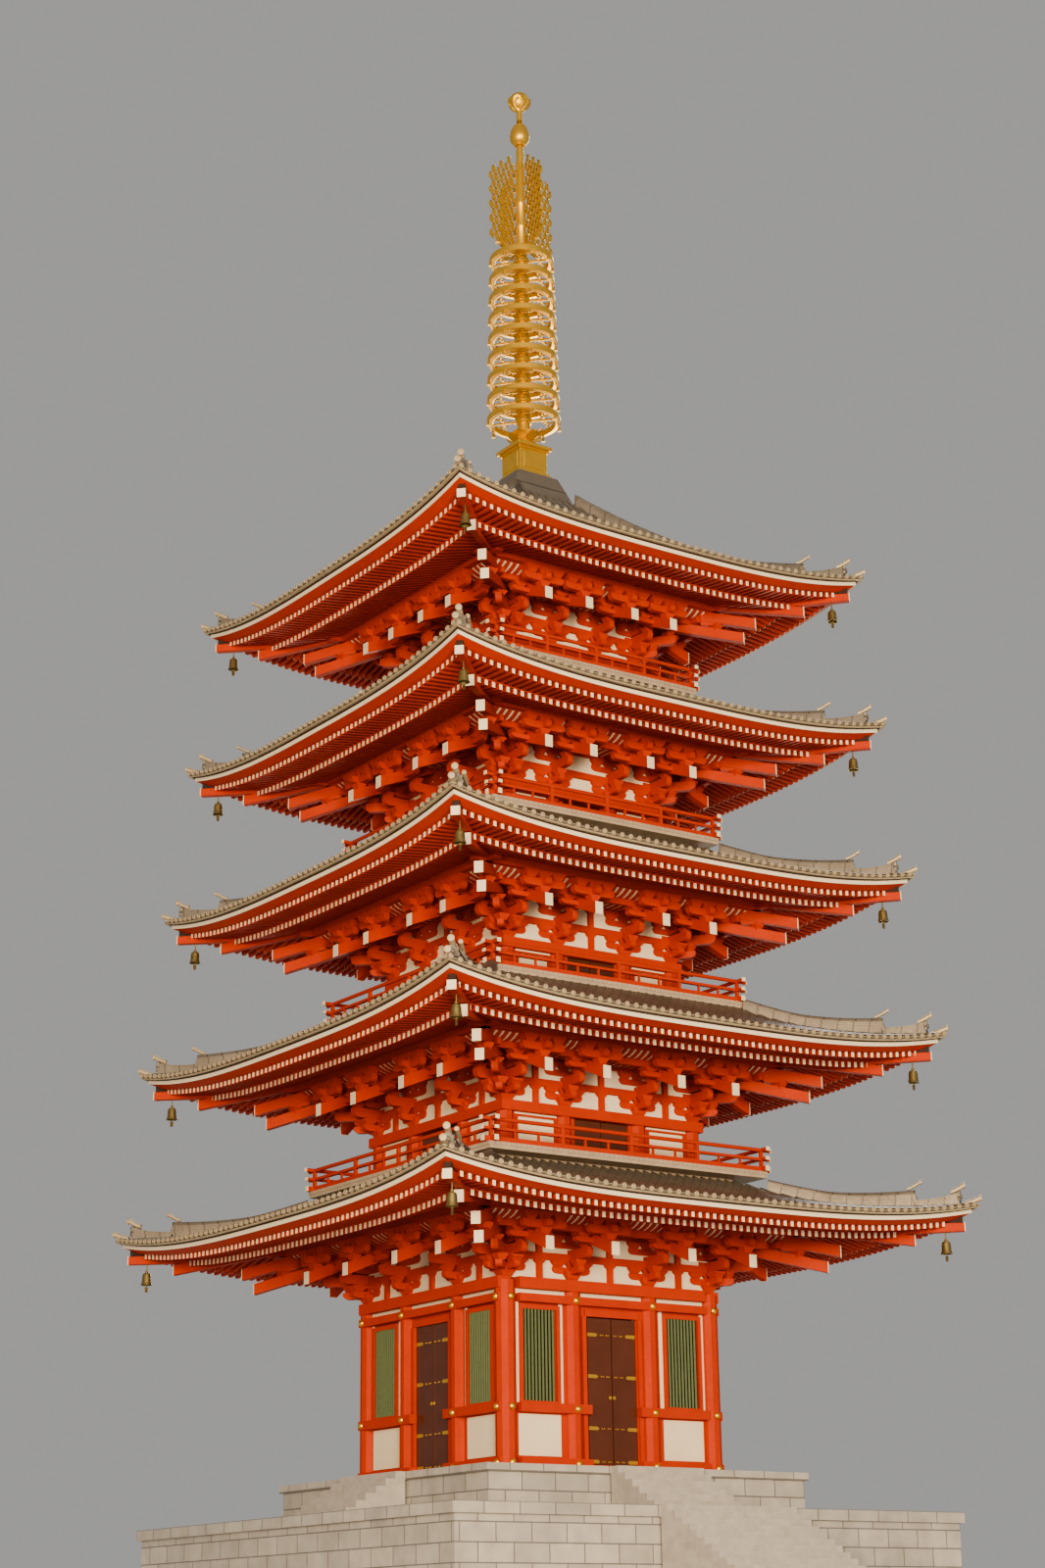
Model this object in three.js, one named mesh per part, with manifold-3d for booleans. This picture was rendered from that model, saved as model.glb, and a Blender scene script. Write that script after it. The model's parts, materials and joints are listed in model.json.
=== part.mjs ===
// Five-storey pagoda on a stone terrace, modelled at half of its real size.
// All the sizes below are in metres of the real building, measured up from the ground.
// The origin is on the tower's centre line at ground level, +Z up, with the front towards -Y.

import * as THREE from 'three';
import { mergeVertices } from 'three/addons/utils/BufferGeometryUtils.js';
import Module from 'manifold-3d';

const wasm = await Module();
wasm.setup();

// One real metre is half a metre of the model, in millimetres.
const MODEL_SCALE = 0.5;
const MM = 1000 * MODEL_SCALE;
// Pieces that touch keep this gap, 0.3 mm of the model.
const GAP = 0.3 / MM;
// Corners that lie this close to a straight line or a flat face are dropped.
const SMOOTH = 0.0005;
// A cutter runs past what it cuts by this much.
const PAST = 0.05;

const TERRACE = { half: 8.6, height: 5.0, coping: 0.3, copingReach: 0.12 };
const TERRACE_STAIR = { half: 2.2, steps: 28, tread: 0.3 };
const PODIUM = { half: 5.5, height: 1.2, coping: 0.22, copingReach: 0.1 };
const PODIUM_STAIR = { half: 1.5, steps: 6, tread: 0.32 };
// The tower's own heights are counted from the terrace.
const BASE_Z = TERRACE.height;
const FLOOR_1 = BASE_Z + PODIUM.height;

// eave: half width at the fascia's corner. eaveZ: fascia's top at mid side.
// wall: half width at the column centres. bay: place of the two inner columns.
// head: top of the walls. slope, sag: the tiled surface's straight and curved parts.
const STOREYS = [
  { eave: 9.25, eaveZ: BASE_Z + 8.03, wall: 3.63, bay: 1.37, head: BASE_Z + 6.47, slope: 0.15, sag: 0.03 },
  { eave: 8.78, eaveZ: BASE_Z + 13.19, wall: 3.41, bay: 1.36, head: BASE_Z + 11.57, slope: 0.22, sag: 0.04 },
  { eave: 8.34, eaveZ: BASE_Z + 18.25, wall: 3.06, bay: 1.25, head: BASE_Z + 16.57, slope: 0.22, sag: 0.04 },
  { eave: 7.88, eaveZ: BASE_Z + 23.26, wall: 2.74, bay: 1.08, head: BASE_Z + 21.62, slope: 0.22, sag: 0.04 },
  { eave: 7.59, eaveZ: BASE_Z + 28.25, wall: 2.42, bay: 0.88, head: BASE_Z + 26.6, slope: 0.22, sag: 0.06 },
];
// The balcony decks of the second to the fifth storey: half width and underside.
const BALCONIES = [
  { half: 5.02, z: BASE_Z + 9.8 },
  { half: 4.65, z: BASE_Z + 15.06 },
  { half: 4.25, z: BASE_Z + 20.36 },
  { half: 3.87, z: BASE_Z + 25.41 },
];
const DECK = 0.2;
// The roof below a balcony is trimmed to its edge up to this height over the deck's underside.
const ABOVE = 3;
const SKIRT = { inset: 0.72, thick: 0.22 };
const RAIL = { inset: 0.12, thick: 0.12, top: 0.78, bar: 0.12, toe: 0.14, cornerHeight: 0.96, past: 0.34,
  bays: 4 };

// The corners of every eave turn up by this much, along a steep curve.
const LIFT = 0.61;
const LIFT_POWER = 3.2;
const FASCIA = 0.15;
const TILE_EDGE = { past: 0.17, height: 0.22 };
const RAFTER_PITCH = 0.3;
const UPPER_ROW = { inset: 0.42, drop: 0.29 };
const LOWER_ROW = { inset: 1.45, drop: 0.42 };
const MID_RUN = 3.0;
const LIFT_FADE = { run: 3.2, power: 1.2 };
const ROOF_THICK = 0.28;
// The eaves' deck: its thickness at the wall, and its top over the fascia at the lower row's ends.
const EAVES_DECK = { inner: 0.25, rise: 0.29, boardTop: 0.16, step: 0.05 };
// The hip rafter's two tiers: their undersides and tops below the fascia's corner.
const HIP = { width: 0.26, past: 0.25, lowDrop: 0.66, highDrop: 0.36, tipDrop: 0.62, tipInset: 0.12 };
// A hip's ridge: height over the tiles at these distances in from the fascia.
const RIDGE = { width: 0.34, split: 1.14, tip: [0.1, 0.42], dip: [0.5, 0.24], foot: 0.22, horn: 0.5,
  body: 0.38, hornRun: 0.6, sunk: 0.12 };

const WALL = { out: 0.08, thick: 0.2, column: 0.3, upperColumn: 0.25, beam: 0.25, upperBeam: 0.2 };
// Columns end this far inside the sill and the head beam, which stand proud of them.
const COLUMN_TRIM = 0.1;
const BEAM_HEIGHT = 0.3;
// The first storey's beams above the terrace, from the sill to the head.
const FIRST_BEAMS = [[1.2, 1.5], [2.74, 3.0], [5.78, 6.01], [6.15, 6.47]];
// A hole through a wall is cut this far to both sides of its centre line.
const THROUGH = 0.5;
// An upper window keeps these distances to the columns' sides and to the floor and the head.
const UPPER_WINDOW = { side: 0.12, end: 0.42 };
// arm: width of an arm. under: its lower edge, by distance out of the wall and height over the head.
const BRACKET = { reach: 1.95, arm: 0.24, beam: 0.2, beamHeight: 0.3, seat: 0.1,
  under: [[0.32, 0], [0.95, 0.36], [2.2, 0.52], [2.2, 0.78]] };
const DOOR = { half: 0.88, sill: 0.15, top: BASE_Z + 5.5, thick: 0.08, clear: 0.032, seam: 0.012,
  seamDepth: 0.03 };
const WINDOW = { from: 2.01, to: 3.13, sill: BASE_Z + 3.0, top: BASE_Z + 5.64 };
const HINGE = { pin: 0.03, length: 0.06 };

// crown: share of the radius at the shoulder. rod: radius of the bar that it hangs on.
const BELL = { inset: 0.57, radius: 0.2, height: 0.5, drop: 0.33, crown: 0.7, rod: 0.03 };

const FINIAL = {
  base: { half: 1.2, top: BASE_Z + 33.4 },
  basin: { half: 0.55, lip: 0.68, lipHeight: 0.14, top: BASE_Z + 34.55 },
  bowlTop: BASE_Z + 35.2,
  pole: 0.13,
  sleeve: 0.21,
  rings: { count: 9, first: BASE_Z + 35.72, pitch: 0.754, low: 1.2, high: 1.06, width: 0.46, thick: 0.13,
    sides: 16 },
  flame: { from: BASE_Z + 42.15, to: BASE_Z + 45.45, reach: 1.22, thick: 0.09 },
  egg: { from: BASE_Z + 46.0, to: BASE_Z + 46.9, radius: 0.36 },
  jewel: { from: BASE_Z + 47.2, to: BASE_Z + 48.32, radius: 0.38 },
};

const FINISH = {
  stone: { color: 0x9a958c, roughness: 0.9, metalness: 0 },
  red: { color: 0xc4391d, roughness: 0.5, metalness: 0 },
  timber: { color: 0x9c8f80, roughness: 0.8, metalness: 0 },
  door: { color: 0x4a2415, roughness: 0.5, metalness: 0 },
  tile: { color: 0x8a8279, roughness: 0.5, metalness: 0.6 },
  gold: { color: 0xd9a23c, roughness: 0.3, metalness: 1 },
};

// Round holes have this many sides and are wide enough for the pole at the middle of a side.
const BORE_SIDES = 12;
const BORE = (FINIAL.pole + GAP) / Math.cos(Math.PI / BORE_SIDES);

const pagoda = new THREE.Group();

// Shapes

function solid(geometry) {
  const bare = geometry.clone();
  bare.deleteAttribute('normal');
  bare.deleteAttribute('uv');
  const merged = mergeVertices(bare, 1e-6);
  const vertProperties = new Float32Array(merged.attributes.position.array);
  const triVerts = new Uint32Array(merged.index.array);
  return new wasm.Manifold(new wasm.Mesh({ numProp: 3, vertProperties, triVerts }));
}

function box(x, y, z) {
  const geometry = new THREE.BoxGeometry(x[1] - x[0], y[1] - y[0], z[1] - z[0]);
  geometry.translate((x[0] + x[1]) / 2, (y[0] + y[1]) / 2, (z[0] + z[1]) / 2);
  return solid(geometry);
}

// An outline in the plane of the first two axes, given its thickness along the third.
function plate(outline, thick, outward, up) {
  const shape = new THREE.Shape(outline.map(([u, v]) => new THREE.Vector2(u, v)));
  const geometry = new THREE.ExtrudeGeometry(shape, { depth: thick, bevelEnabled: false });
  geometry.translate(0, 0, -thick / 2);
  const side = new THREE.Vector3().crossVectors(outward, up);
  geometry.applyMatrix4(new THREE.Matrix4().makeBasis(outward, up, side));
  return solid(geometry);
}

function lathe(profile, sides) {
  const geometry = new THREE.LatheGeometry(profile.map(([r, z]) => new THREE.Vector2(r, z)), sides);
  geometry.rotateX(Math.PI / 2);
  return solid(geometry);
}

function post(radius, sides, x, y, z) {
  const geometry = new THREE.CylinderGeometry(radius, radius, z[1] - z[0], sides);
  geometry.rotateX(Math.PI / 2);
  geometry.rotateZ(Math.PI / sides);
  geometry.translate(x, y, (z[0] + z[1]) / 2);
  return solid(geometry);
}

function union(parts) {
  return wasm.Manifold.union(parts);
}

// The same solid on each of the four sides of the tower.
function onFourSides(part) {
  return union([0, 90, 180, 270].map((turn) => part.rotate([0, 0, turn])));
}

// A band round all four sides. Each corner of its section has a reach out from the
// centre, a height at mid side, and a share of the corner's lift.
const ALONG = [-1, -0.8, -0.45, 0.45, 0.8];

function band(section) {
  const positions = [];
  for (let side = 0; side < 4; side += 1) {
    const turn = (side * Math.PI) / 2;
    for (const t of ALONG) {
      for (const { reach, z, lift = 0 } of section) {
        const x = t * reach;
        const y = -reach;
        positions.push(x * Math.cos(turn) - y * Math.sin(turn));
        positions.push(x * Math.sin(turn) + y * Math.cos(turn));
        positions.push(z + LIFT * lift * Math.abs(t) ** LIFT_POWER);
      }
    }
  }
  const columns = 4 * ALONG.length;
  const corners = section.length;
  const index = [];
  for (let i = 0; i < columns; i += 1) {
    const j = (i + 1) % columns;
    for (let k = 0; k < corners; k += 1) {
      const l = (k + 1) % corners;
      const quad = [i * corners + k, j * corners + k, j * corners + l, i * corners + l];
      // Facing bands are split along the same diagonal, so that they lie flat on each other.
      const [a, b, c, d] = section[l].reach < section[k].reach ? quad : [...quad.slice(1), quad[0]];
      index.push(a, b, c, a, c, d);
    }
  }
  const geometry = new THREE.BufferGeometry();
  geometry.setAttribute('position', new THREE.Float32BufferAttribute(positions, 3));
  geometry.setIndex(index);
  return solid(geometry);
}

// A square frame with flat sides.
function frame(outer, inner, z) {
  return box([-outer, outer], [-outer, outer], z)
    .subtract(box([-inner, inner], [-inner, inner], [z[0] - PAST, z[1] + PAST]));
}

function addPiece(name, part, finish) {
  const made = part.simplify(SMOOTH).getMesh();
  const points = new Float32Array(made.numVert * 3);
  for (let i = 0; i < made.numVert; i += 1) {
    for (let k = 0; k < 3; k += 1) {
      points[i * 3 + k] = made.vertProperties[i * made.numProp + k] * MM;
    }
  }
  const geometry = new THREE.BufferGeometry();
  geometry.setAttribute('position', new THREE.BufferAttribute(points, 3));
  geometry.setIndex(new THREE.BufferAttribute(new Uint32Array(made.triVerts), 1));
  geometry.computeVertexNormals();
  const mesh = new THREE.Mesh(geometry, new THREE.MeshStandardMaterial(FINISH[finish]));
  mesh.name = name;
  pagoda.add(mesh);
}

const TO_FRONT = new THREE.Vector3(0, -1, 0);
const UP = new THREE.Vector3(0, 0, 1);
const TO_CORNER = new THREE.Vector3(-1, -1, 0).normalize();

// Heights of the eaves and roofs

function liftShare(storey, reach) {
  const start = storey.wall + BRACKET.reach;
  const run = (reach - start) / (storey.eave - start);
  return Math.max(0, run) ** 1.5;
}

function tileZ(storey, reach) {
  const run = storey.eave + TILE_EDGE.past - reach;
  return storey.eaveZ + TILE_EDGE.height + storey.slope * run + storey.sag * run * run;
}

function tileLift(storey, reach) {
  const run = storey.eave + TILE_EDGE.past - reach;
  return Math.max(0, 1 - run / LIFT_FADE.run) ** LIFT_FADE.power;
}

function lowerRafterZ(storey, reach) {
  return storey.eaveZ - LOWER_ROW.drop + RAFTER_PITCH * (storey.eave - LOWER_ROW.inset - reach);
}

// Terrace and podium

function blockWithCoping({ half, height, coping, copingReach }, z) {
  const body = box([-half, half], [-half, half], [z, z + height]);
  const edge = half + copingReach;
  const cap = box([-edge, edge], [-edge, edge], [z + height - coping, z + height]);
  return body.add(cap);
}

// Steps that climb towards +Y, from the nose of the lowest at y, with solid masonry below.
function flight(half, count, tread, rise, y, z) {
  const outline = [[0, 0]];
  for (let step = 0; step < count; step += 1) {
    outline.push([step * tread, (step + 1) * rise + z]);
    outline.push([(step + 1) * tread, (step + 1) * rise + z]);
  }
  outline.push([count * tread, 0]);
  const inward = new THREE.Vector3(0, 1, 0);
  return plate(outline, 2 * half, inward, UP).translate([0, y, 0]);
}

function addTerrace() {
  const { steps, tread, half } = TERRACE_STAIR;
  addPiece('terrace', blockWithCoping(TERRACE, 0), 'stone');
  const rise = TERRACE.height / steps;
  const inFlight = steps / 2;
  const head = -(TERRACE.half + TERRACE.copingReach + GAP);
  const middle = head - inFlight * tread;
  const foot = middle - inFlight * tread - GAP;
  addPiece('terrace_stair_upper', flight(half, inFlight, tread, rise, middle, TERRACE.height / 2), 'stone');
  addPiece('terrace_stair_lower', flight(half, inFlight, tread, rise, foot, 0), 'stone');
}

function addPodium() {
  addPiece('podium', blockWithCoping(PODIUM, BASE_Z + GAP), 'stone');
  const { steps, tread, half } = PODIUM_STAIR;
  const rise = PODIUM.height / steps;
  const foot = -(PODIUM.half + PODIUM.copingReach + GAP + steps * tread);
  const outer = flight(half, steps, tread, rise, foot, 0).translate([0, 0, BASE_Z + GAP]);
  ['front', 'right', 'back', 'left'].forEach((side, turn) => {
    addPiece(`podium_steps_${side}`, outer.rotate([0, 0, 90 * turn]), 'stone');
  });
}

// Walls

const FIRST = STOREYS[0];
const WALL_TOP = FIRST.head;
const WALL_FOOT = FLOOR_1 + 2 * GAP;

function firstStoreyColumn(x, y) {
  const inside = FIRST.wall + WALL.out - WALL.thick;
  const room = box([-inside, inside], [-inside, inside], [WALL_FOOT, WALL_TOP]);
  return post(WALL.column, 10, x, y, [WALL_FOOT + COLUMN_TRIM, WALL_TOP - COLUMN_TRIM]).subtract(room);
}

// One side's wall between two places along X, with its beams.
function firstStoreyPanel(from, to, z) {
  const out = FIRST.wall + WALL.out;
  const y = [-out, -out + WALL.thick];
  const panel = box([from, to], y, z);
  const bars = FIRST_BEAMS.map((bar) => bar.map((height) => Math.max(WALL_FOOT, BASE_Z + height)));
  const proud = [-out - WALL.beam, -out + WALL.thick];
  const inside = bars.filter((bar) => bar[0] >= z[0] - PAST && bar[1] <= z[1] + PAST);
  return union([panel, ...inside.map((bar) => box([from, to], proud, bar))]);
}

function windowHole(side) {
  const x = [side * WINDOW.from, side * WINDOW.to].sort((a, b) => a - b);
  const y = -FIRST.wall;
  return box(x, [y - THROUGH, y + THROUGH], [WINDOW.sill, WINDOW.top]);
}

function frontWallSide(side) {
  const inner = DOOR.half;
  const outer = FIRST.wall - WALL.column - GAP;
  const x = side < 0 ? [-outer, -inner] : [inner, outer];
  const wall = firstStoreyPanel(x[0], x[1], [WALL_FOOT, WALL_TOP]);
  const column = firstStoreyColumn(side * FIRST.bay, -FIRST.wall);
  return union([wall, column]).subtract(windowHole(side));
}

function hingeHole(side, z) {
  const pin = new THREE.CylinderGeometry(HINGE.pin + 2 * GAP, HINGE.pin + 2 * GAP, z[1] - z[0], 16);
  pin.rotateX(Math.PI / 2);
  pin.translate(side * hingeX(), doorY(), (z[0] + z[1]) / 2);
  return solid(pin);
}

function hingeX() {
  return DOOR.half - DOOR.clear - HINGE.pin;
}

function doorY() {
  return -(FIRST.wall + WALL.out) + DOOR.thick / 2;
}

function doorZ() {
  return [FLOOR_1 + DOOR.sill + DOOR.clear, DOOR.top - DOOR.clear];
}

// A leaf with raised rails, hung on a pin at its top and bottom.
function doorLeaf(side) {
  const x = [DOOR.clear / 2, DOOR.half - DOOR.clear].map((v) => side * v).sort((a, b) => a - b);
  const y = [doorY() - DOOR.thick / 2, doorY() + DOOR.thick / 2];
  const z = doorZ();
  const leaf = box(x, y, z);
  const pin = post(HINGE.pin, 8, side * hingeX(), doorY(), [z[0] - HINGE.length, z[1] + HINGE.length]);
  return union([leaf, pin]);
}

function overDoor() {
  const half = DOOR.half - GAP;
  const z = [DOOR.top, WALL_TOP];
  const wall = firstStoreyPanel(-half, half, z);
  const holeZ = [DOOR.top - PAST, DOOR.top + HINGE.length];
  return wall.subtract(union([hingeHole(-1, holeZ), hingeHole(1, holeZ)]));
}

function doorSill() {
  const half = DOOR.half - GAP;
  const out = FIRST.wall + WALL.out;
  const z = [WALL_FOOT, FLOOR_1 + DOOR.sill];
  const holeZ = [z[1] - HINGE.length, z[1] + PAST];
  return box([-half, half], [-out - WALL.beam, -out + WALL.thick], z)
    .subtract(union([hingeHole(-1, holeZ), hingeHole(1, holeZ)]));
}

// A side with no moving door: window, doorway, window, and its inner columns.
function plainSide(reachAlong) {
  const wall = firstStoreyPanel(-reachAlong, reachAlong, [WALL_FOOT, WALL_TOP]);
  const columns = [-1, 1].map((side) => firstStoreyColumn(side * FIRST.bay, -FIRST.wall));
  const doorway = box([-DOOR.half, DOOR.half], [-FIRST.wall - THROUGH, -FIRST.wall + THROUGH],
    [FLOOR_1 + DOOR.sill, DOOR.top]);
  return union([wall, ...columns]).subtract(union([windowHole(-1), windowHole(1), doorway]));
}

function cornerColumns(side) {
  return [-1, 1].map((end) => firstStoreyColumn(side * FIRST.wall, end * FIRST.wall));
}

function fixedDoors() {
  const half = DOOR.half - GAP;
  const z = [FLOOR_1 + DOOR.sill + GAP, DOOR.top - GAP];
  const y = [doorY() - DOOR.thick / 2, doorY() + DOOR.thick / 2];
  const { seam, seamDepth } = DOOR;
  const groove = box([-seam / 2, seam / 2], [y[0] - PAST, y[0] + seamDepth], [z[0] - PAST, z[1] + PAST]);
  return box([-half, half], y, z).subtract(groove);
}

function addFirstStorey() {
  addPiece('front_wall_left', frontWallSide(-1), 'red');
  addPiece('front_wall_right', frontWallSide(1), 'red');
  addPiece('front_wall_over_door', overDoor(), 'red');
  addPiece('front_door_sill', doorSill(), 'red');
  addPiece('front_door_left', doorLeaf(-1), 'door');
  addPiece('front_door_right', doorLeaf(1), 'door');
  const between = FIRST.wall - WALL.column - GAP;
  addPiece('back_wall', plainSide(between).rotate([0, 0, 180]), 'red');
  const sideReach = FIRST.wall + WALL.column / 2;
  const rightSide = plainSide(sideReach).rotate([0, 0, 90]);
  addPiece('right_wall', union([rightSide, ...cornerColumns(1)]), 'red');
  const leftSide = plainSide(sideReach).rotate([0, 0, -90]);
  addPiece('left_wall', union([leftSide, ...cornerColumns(-1)]), 'red');
  addPiece('right_doors', fixedDoors().rotate([0, 0, 90]), 'door');
  addPiece('back_doors', fixedDoors().rotate([0, 0, 180]), 'door');
  addPiece('left_doors', fixedDoors().rotate([0, 0, -90]), 'door');
}

// A low upper storey: a closed ring of walls and columns with its openings.
function upperWalls(storey, floor) {
  const { wall, bay, head } = storey;
  const z = [floor, head];
  const out = wall + WALL.out;
  const shell = frame(out, out - WALL.thick, z);
  const beam = frame(out + WALL.upperBeam, out - WALL.thick, [head - BEAM_HEIGHT, head]);
  const sill = frame(out + WALL.upperBeam, out - WALL.thick, [floor, floor + BEAM_HEIGHT]);
  const places = [-bay, bay, wall];
  const columnZ = [floor + COLUMN_TRIM, head - COLUMN_TRIM];
  const room = box([WALL.thick - out, out - WALL.thick], [WALL.thick - out, out - WALL.thick], z);
  const columns = onFourSides(union(places.map((x) => post(WALL.upperColumn, 8, x, -wall, columnZ))))
    .subtract(room);
  const clear = WALL.upperColumn + UPPER_WINDOW.side;
  const y = [-out - THROUGH, -out + THROUGH];
  const windowZ = [floor + UPPER_WINDOW.end, head - UPPER_WINDOW.end];
  const windows = [-1, 1].map((side) => {
    const x = [side * (bay + clear), side * (wall - clear)].sort((a, b) => a - b);
    return box(x, y, windowZ);
  });
  const doorDepth = -out + WALL.thick - DOOR.thick;
  const doorZs = [floor + BEAM_HEIGHT, head - BEAM_HEIGHT];
  const doorway = box([-bay + clear, bay - clear], [-out - THROUGH, doorDepth], doorZs);
  return union([shell, beam, sill, columns]).subtract(onFourSides(union([...windows, doorway])));
}

// Brackets: beams on three lines that step out, and an arm with a tail at each column.
function bracketArm(storey, stretch) {
  const armTop = (reach) => lowerRafterZ(storey, storey.wall + reach) - GAP - storey.head - BRACKET.seat;
  const inner = WALL.out - WALL.thick + 0.02;
  const outline = [[inner, 0], ...BRACKET.under, [BRACKET.reach, armTop(BRACKET.reach)],
    [inner, armTop(inner)]];
  const highest = lowerRafterZ(storey, storey.wall) - GAP - storey.head;
  return outline.map(([d, z]) => [d * stretch, storey.head + GAP + Math.min(z, highest)]);
}

function brackets(storey) {
  const { wall, bay, head } = storey;
  const out = wall + WALL.out;
  const core = band([
    { reach: out, z: head + GAP },
    { reach: out, z: lowerRafterZ(storey, out) - GAP },
    { reach: out - WALL.thick, z: lowerRafterZ(storey, out - WALL.thick) - GAP },
    { reach: out - WALL.thick, z: head + GAP },
  ]);
  const armOutline = bracketArm(storey, 1);
  const places = [-bay, bay];
  const arms = places.map((x) => plate(armOutline, BRACKET.arm, TO_FRONT, UP).translate([x, -wall, 0]));
  const slanted = plate(bracketArm(storey, Math.SQRT2), BRACKET.arm, TO_CORNER, UP)
    .translate([-wall, -wall, 0]);
  const purlin = wall + BRACKET.reach + BRACKET.beam / 2;
  const purlinTop = lowerRafterZ(storey, purlin) - GAP;
  const purlinBeam = frame(purlin, purlin - BRACKET.beam, [purlinTop - BRACKET.beamHeight, purlinTop]);
  return union([core, onFourSides(union([...arms, slanted])), purlinBeam]);
}

// Eaves: two rows of rafters under a fascia, hip rafters and bells at the corners.
function bell(storey) {
  const reach = storey.eave - BELL.inset;
  const hang = storey.eaveZ + LIFT * liftShare(storey, reach) - UPPER_ROW.drop - BELL.drop;
  const { radius, height, crown, rod, drop } = BELL;
  const profile = [[0, -height], [radius, -height], [radius * crown, -height * 0.2], [0, 0]];
  const bar = post(rod, 4, 0, 0, [-PAST, drop + PAST]);
  return union([lathe(profile, 6), bar]).translate([-reach, -reach, hang]);
}

function eaves(storey) {
  const { eave, eaveZ, wall } = storey;
  const inside = wall + WALL.out - WALL.thick;
  const upper = eave - UPPER_ROW.inset;
  const lower = eave - LOWER_ROW.inset;
  const mid = eave - MID_RUN;
  const innerZ = lowerRafterZ(storey, inside);
  const lowTop = eaveZ + EAVES_DECK.rise;
  const highTop = innerZ + EAVES_DECK.inner;
  const topAt = (reach) => lowTop + (highTop - lowTop) * ((lower - reach) / (lower - inside));
  const { step } = EAVES_DECK;
  const deck = band([
    { reach: inside, z: innerZ },
    { reach: lower, z: eaveZ - LOWER_ROW.drop, lift: liftShare(storey, lower) },
    { reach: lower + step, z: eaveZ - EAVES_DECK.boardTop, lift: liftShare(storey, lower) },
    { reach: upper, z: eaveZ - UPPER_ROW.drop, lift: liftShare(storey, upper) },
    { reach: upper + step, z: eaveZ - FASCIA, lift: 0.92 },
    { reach: eave, z: eaveZ - FASCIA, lift: 1 },
    { reach: eave, z: eaveZ, lift: 1 },
    { reach: lower, z: topAt(lower), lift: liftShare(storey, lower) },
    { reach: mid, z: topAt(mid), lift: liftShare(storey, mid) },
    { reach: inside, z: highTop },
  ]);
  const cornerZ = (reach, drop) => eaveZ + LIFT * liftShare(storey, reach) - drop;
  const diagonal = (reach) => reach * Math.SQRT2;
  const start = wall + BRACKET.reach + BRACKET.beam / 2 + 0.06;
  const hip = plate([
    [diagonal(start), lowerRafterZ(storey, start) - 0.06],
    [diagonal(lower + HIP.past), cornerZ(lower, HIP.lowDrop)],
    [diagonal(lower + HIP.past), cornerZ(lower, HIP.highDrop)],
    [diagonal(eave - HIP.tipInset), cornerZ(eave, HIP.tipDrop)],
    [diagonal(eave - HIP.tipInset), cornerZ(eave, FASCIA / 2)],
    [diagonal(lower), cornerZ(lower, 0)],
    [diagonal(start), lowerRafterZ(storey, start) + 0.1],
  ], HIP.width, TO_CORNER, UP);
  return union([deck, onFourSides(union([hip, bell(storey)]))]);
}

// Roofs: a tiled shell with a ridge in two stages on each hip.
function hipRidge(storey, inner) {
  const edge = storey.eave;
  const z = (reach) => tileZ(storey, reach) + LIFT * tileLift(storey, reach);
  const split = edge - RIDGE.split;
  const crest = split - RIDGE.hornRun;
  const top = [[edge - RIDGE.tip[0], RIDGE.tip[1]], [edge - RIDGE.dip[0], RIDGE.dip[1]], [split, RIDGE.foot],
    [split, RIDGE.horn], [crest, RIDGE.body]];
  const run = crest - inner;
  [0.33, 0.66, 1].forEach((share) => top.push([crest - run * share, RIDGE.body]));
  const under = [inner, split - 2.2, split, edge - RIDGE.tip[0]];
  const outline = top.map(([reach, rise]) => [reach * Math.SQRT2, z(reach) + rise]);
  under.forEach((reach) => outline.push([reach * Math.SQRT2, z(reach) - RIDGE.sunk]));
  return plate(outline, RIDGE.width, TO_CORNER, UP);
}

function roof(storey, inner, crown) {
  const { eave, eaveZ } = storey;
  const edge = eave + TILE_EDGE.past;
  const lower = eave - LOWER_ROW.inset;
  const mid = eave - MID_RUN;
  const runs = [0, 1.6, MID_RUN + TILE_EDGE.past];
  const tiles = runs.map((run) => edge - run);
  tiles.push(...crown.steps);
  tiles.push(inner);
  const under = (reach) => tileZ(storey, reach) - ROOF_THICK;
  const section = [
    { reach: eave, z: eaveZ + GAP, lift: 1 },
    { reach: edge, z: eaveZ + GAP + 0.03, lift: 1 },
    ...tiles.map((reach) => ({ reach, z: tileZ(storey, reach), lift: tileLift(storey, reach) })),
    ...crown.cap,
    ...crown.under.map((reach) => ({ reach, z: under(reach) })),
    { reach: mid, z: under(mid) },
    { reach: lower, z: eaveZ + EAVES_DECK.rise + GAP, lift: liftShare(storey, lower) + 0.02 },
  ];
  const ridge = hipRidge(storey, inner + 0.02);
  return union([band(section), onFourSides(ridge)]);
}

function plainCrown(inner) {
  return { steps: [], cap: [], under: [inner] };
}

function topCrown() {
  const { half, top } = FINIAL.base;
  const hole = 0.3;
  return {
    steps: [3.4, 2.2],
    cap: [{ reach: half, z: top }, { reach: hole, z: top }, { reach: hole, z: top - 0.5 }],
    under: [half, 3.0],
  };
}

// The balcony's deck with the floor behind it, on a skirt that stands on the rafters below.
function balconyFloor(below, balcony) {
  const { half, z } = balcony;
  const deck = box([-half, half], [-half, half], [z, z + DECK]);
  const outer = half - SKIRT.inset;
  const inner = outer - SKIRT.thick;
  const lower = below.eave - LOWER_ROW.inset;
  const inside = below.wall + WALL.out - WALL.thick;
  const innerZ = lowerRafterZ(below, inside) + EAVES_DECK.inner;
  const share = (inner - inside) / (below.eave - MID_RUN - inside);
  const cornerLift = LIFT * liftShare(below, below.eave - MID_RUN) * share;
  const fall = innerZ - below.eaveZ - EAVES_DECK.rise;
  const foot = innerZ - fall * ((inner - inside) / (lower - inside)) + cornerLift + GAP;
  return union([deck, frame(outer, inner, [foot, z + DECK / 2])]);
}

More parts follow.
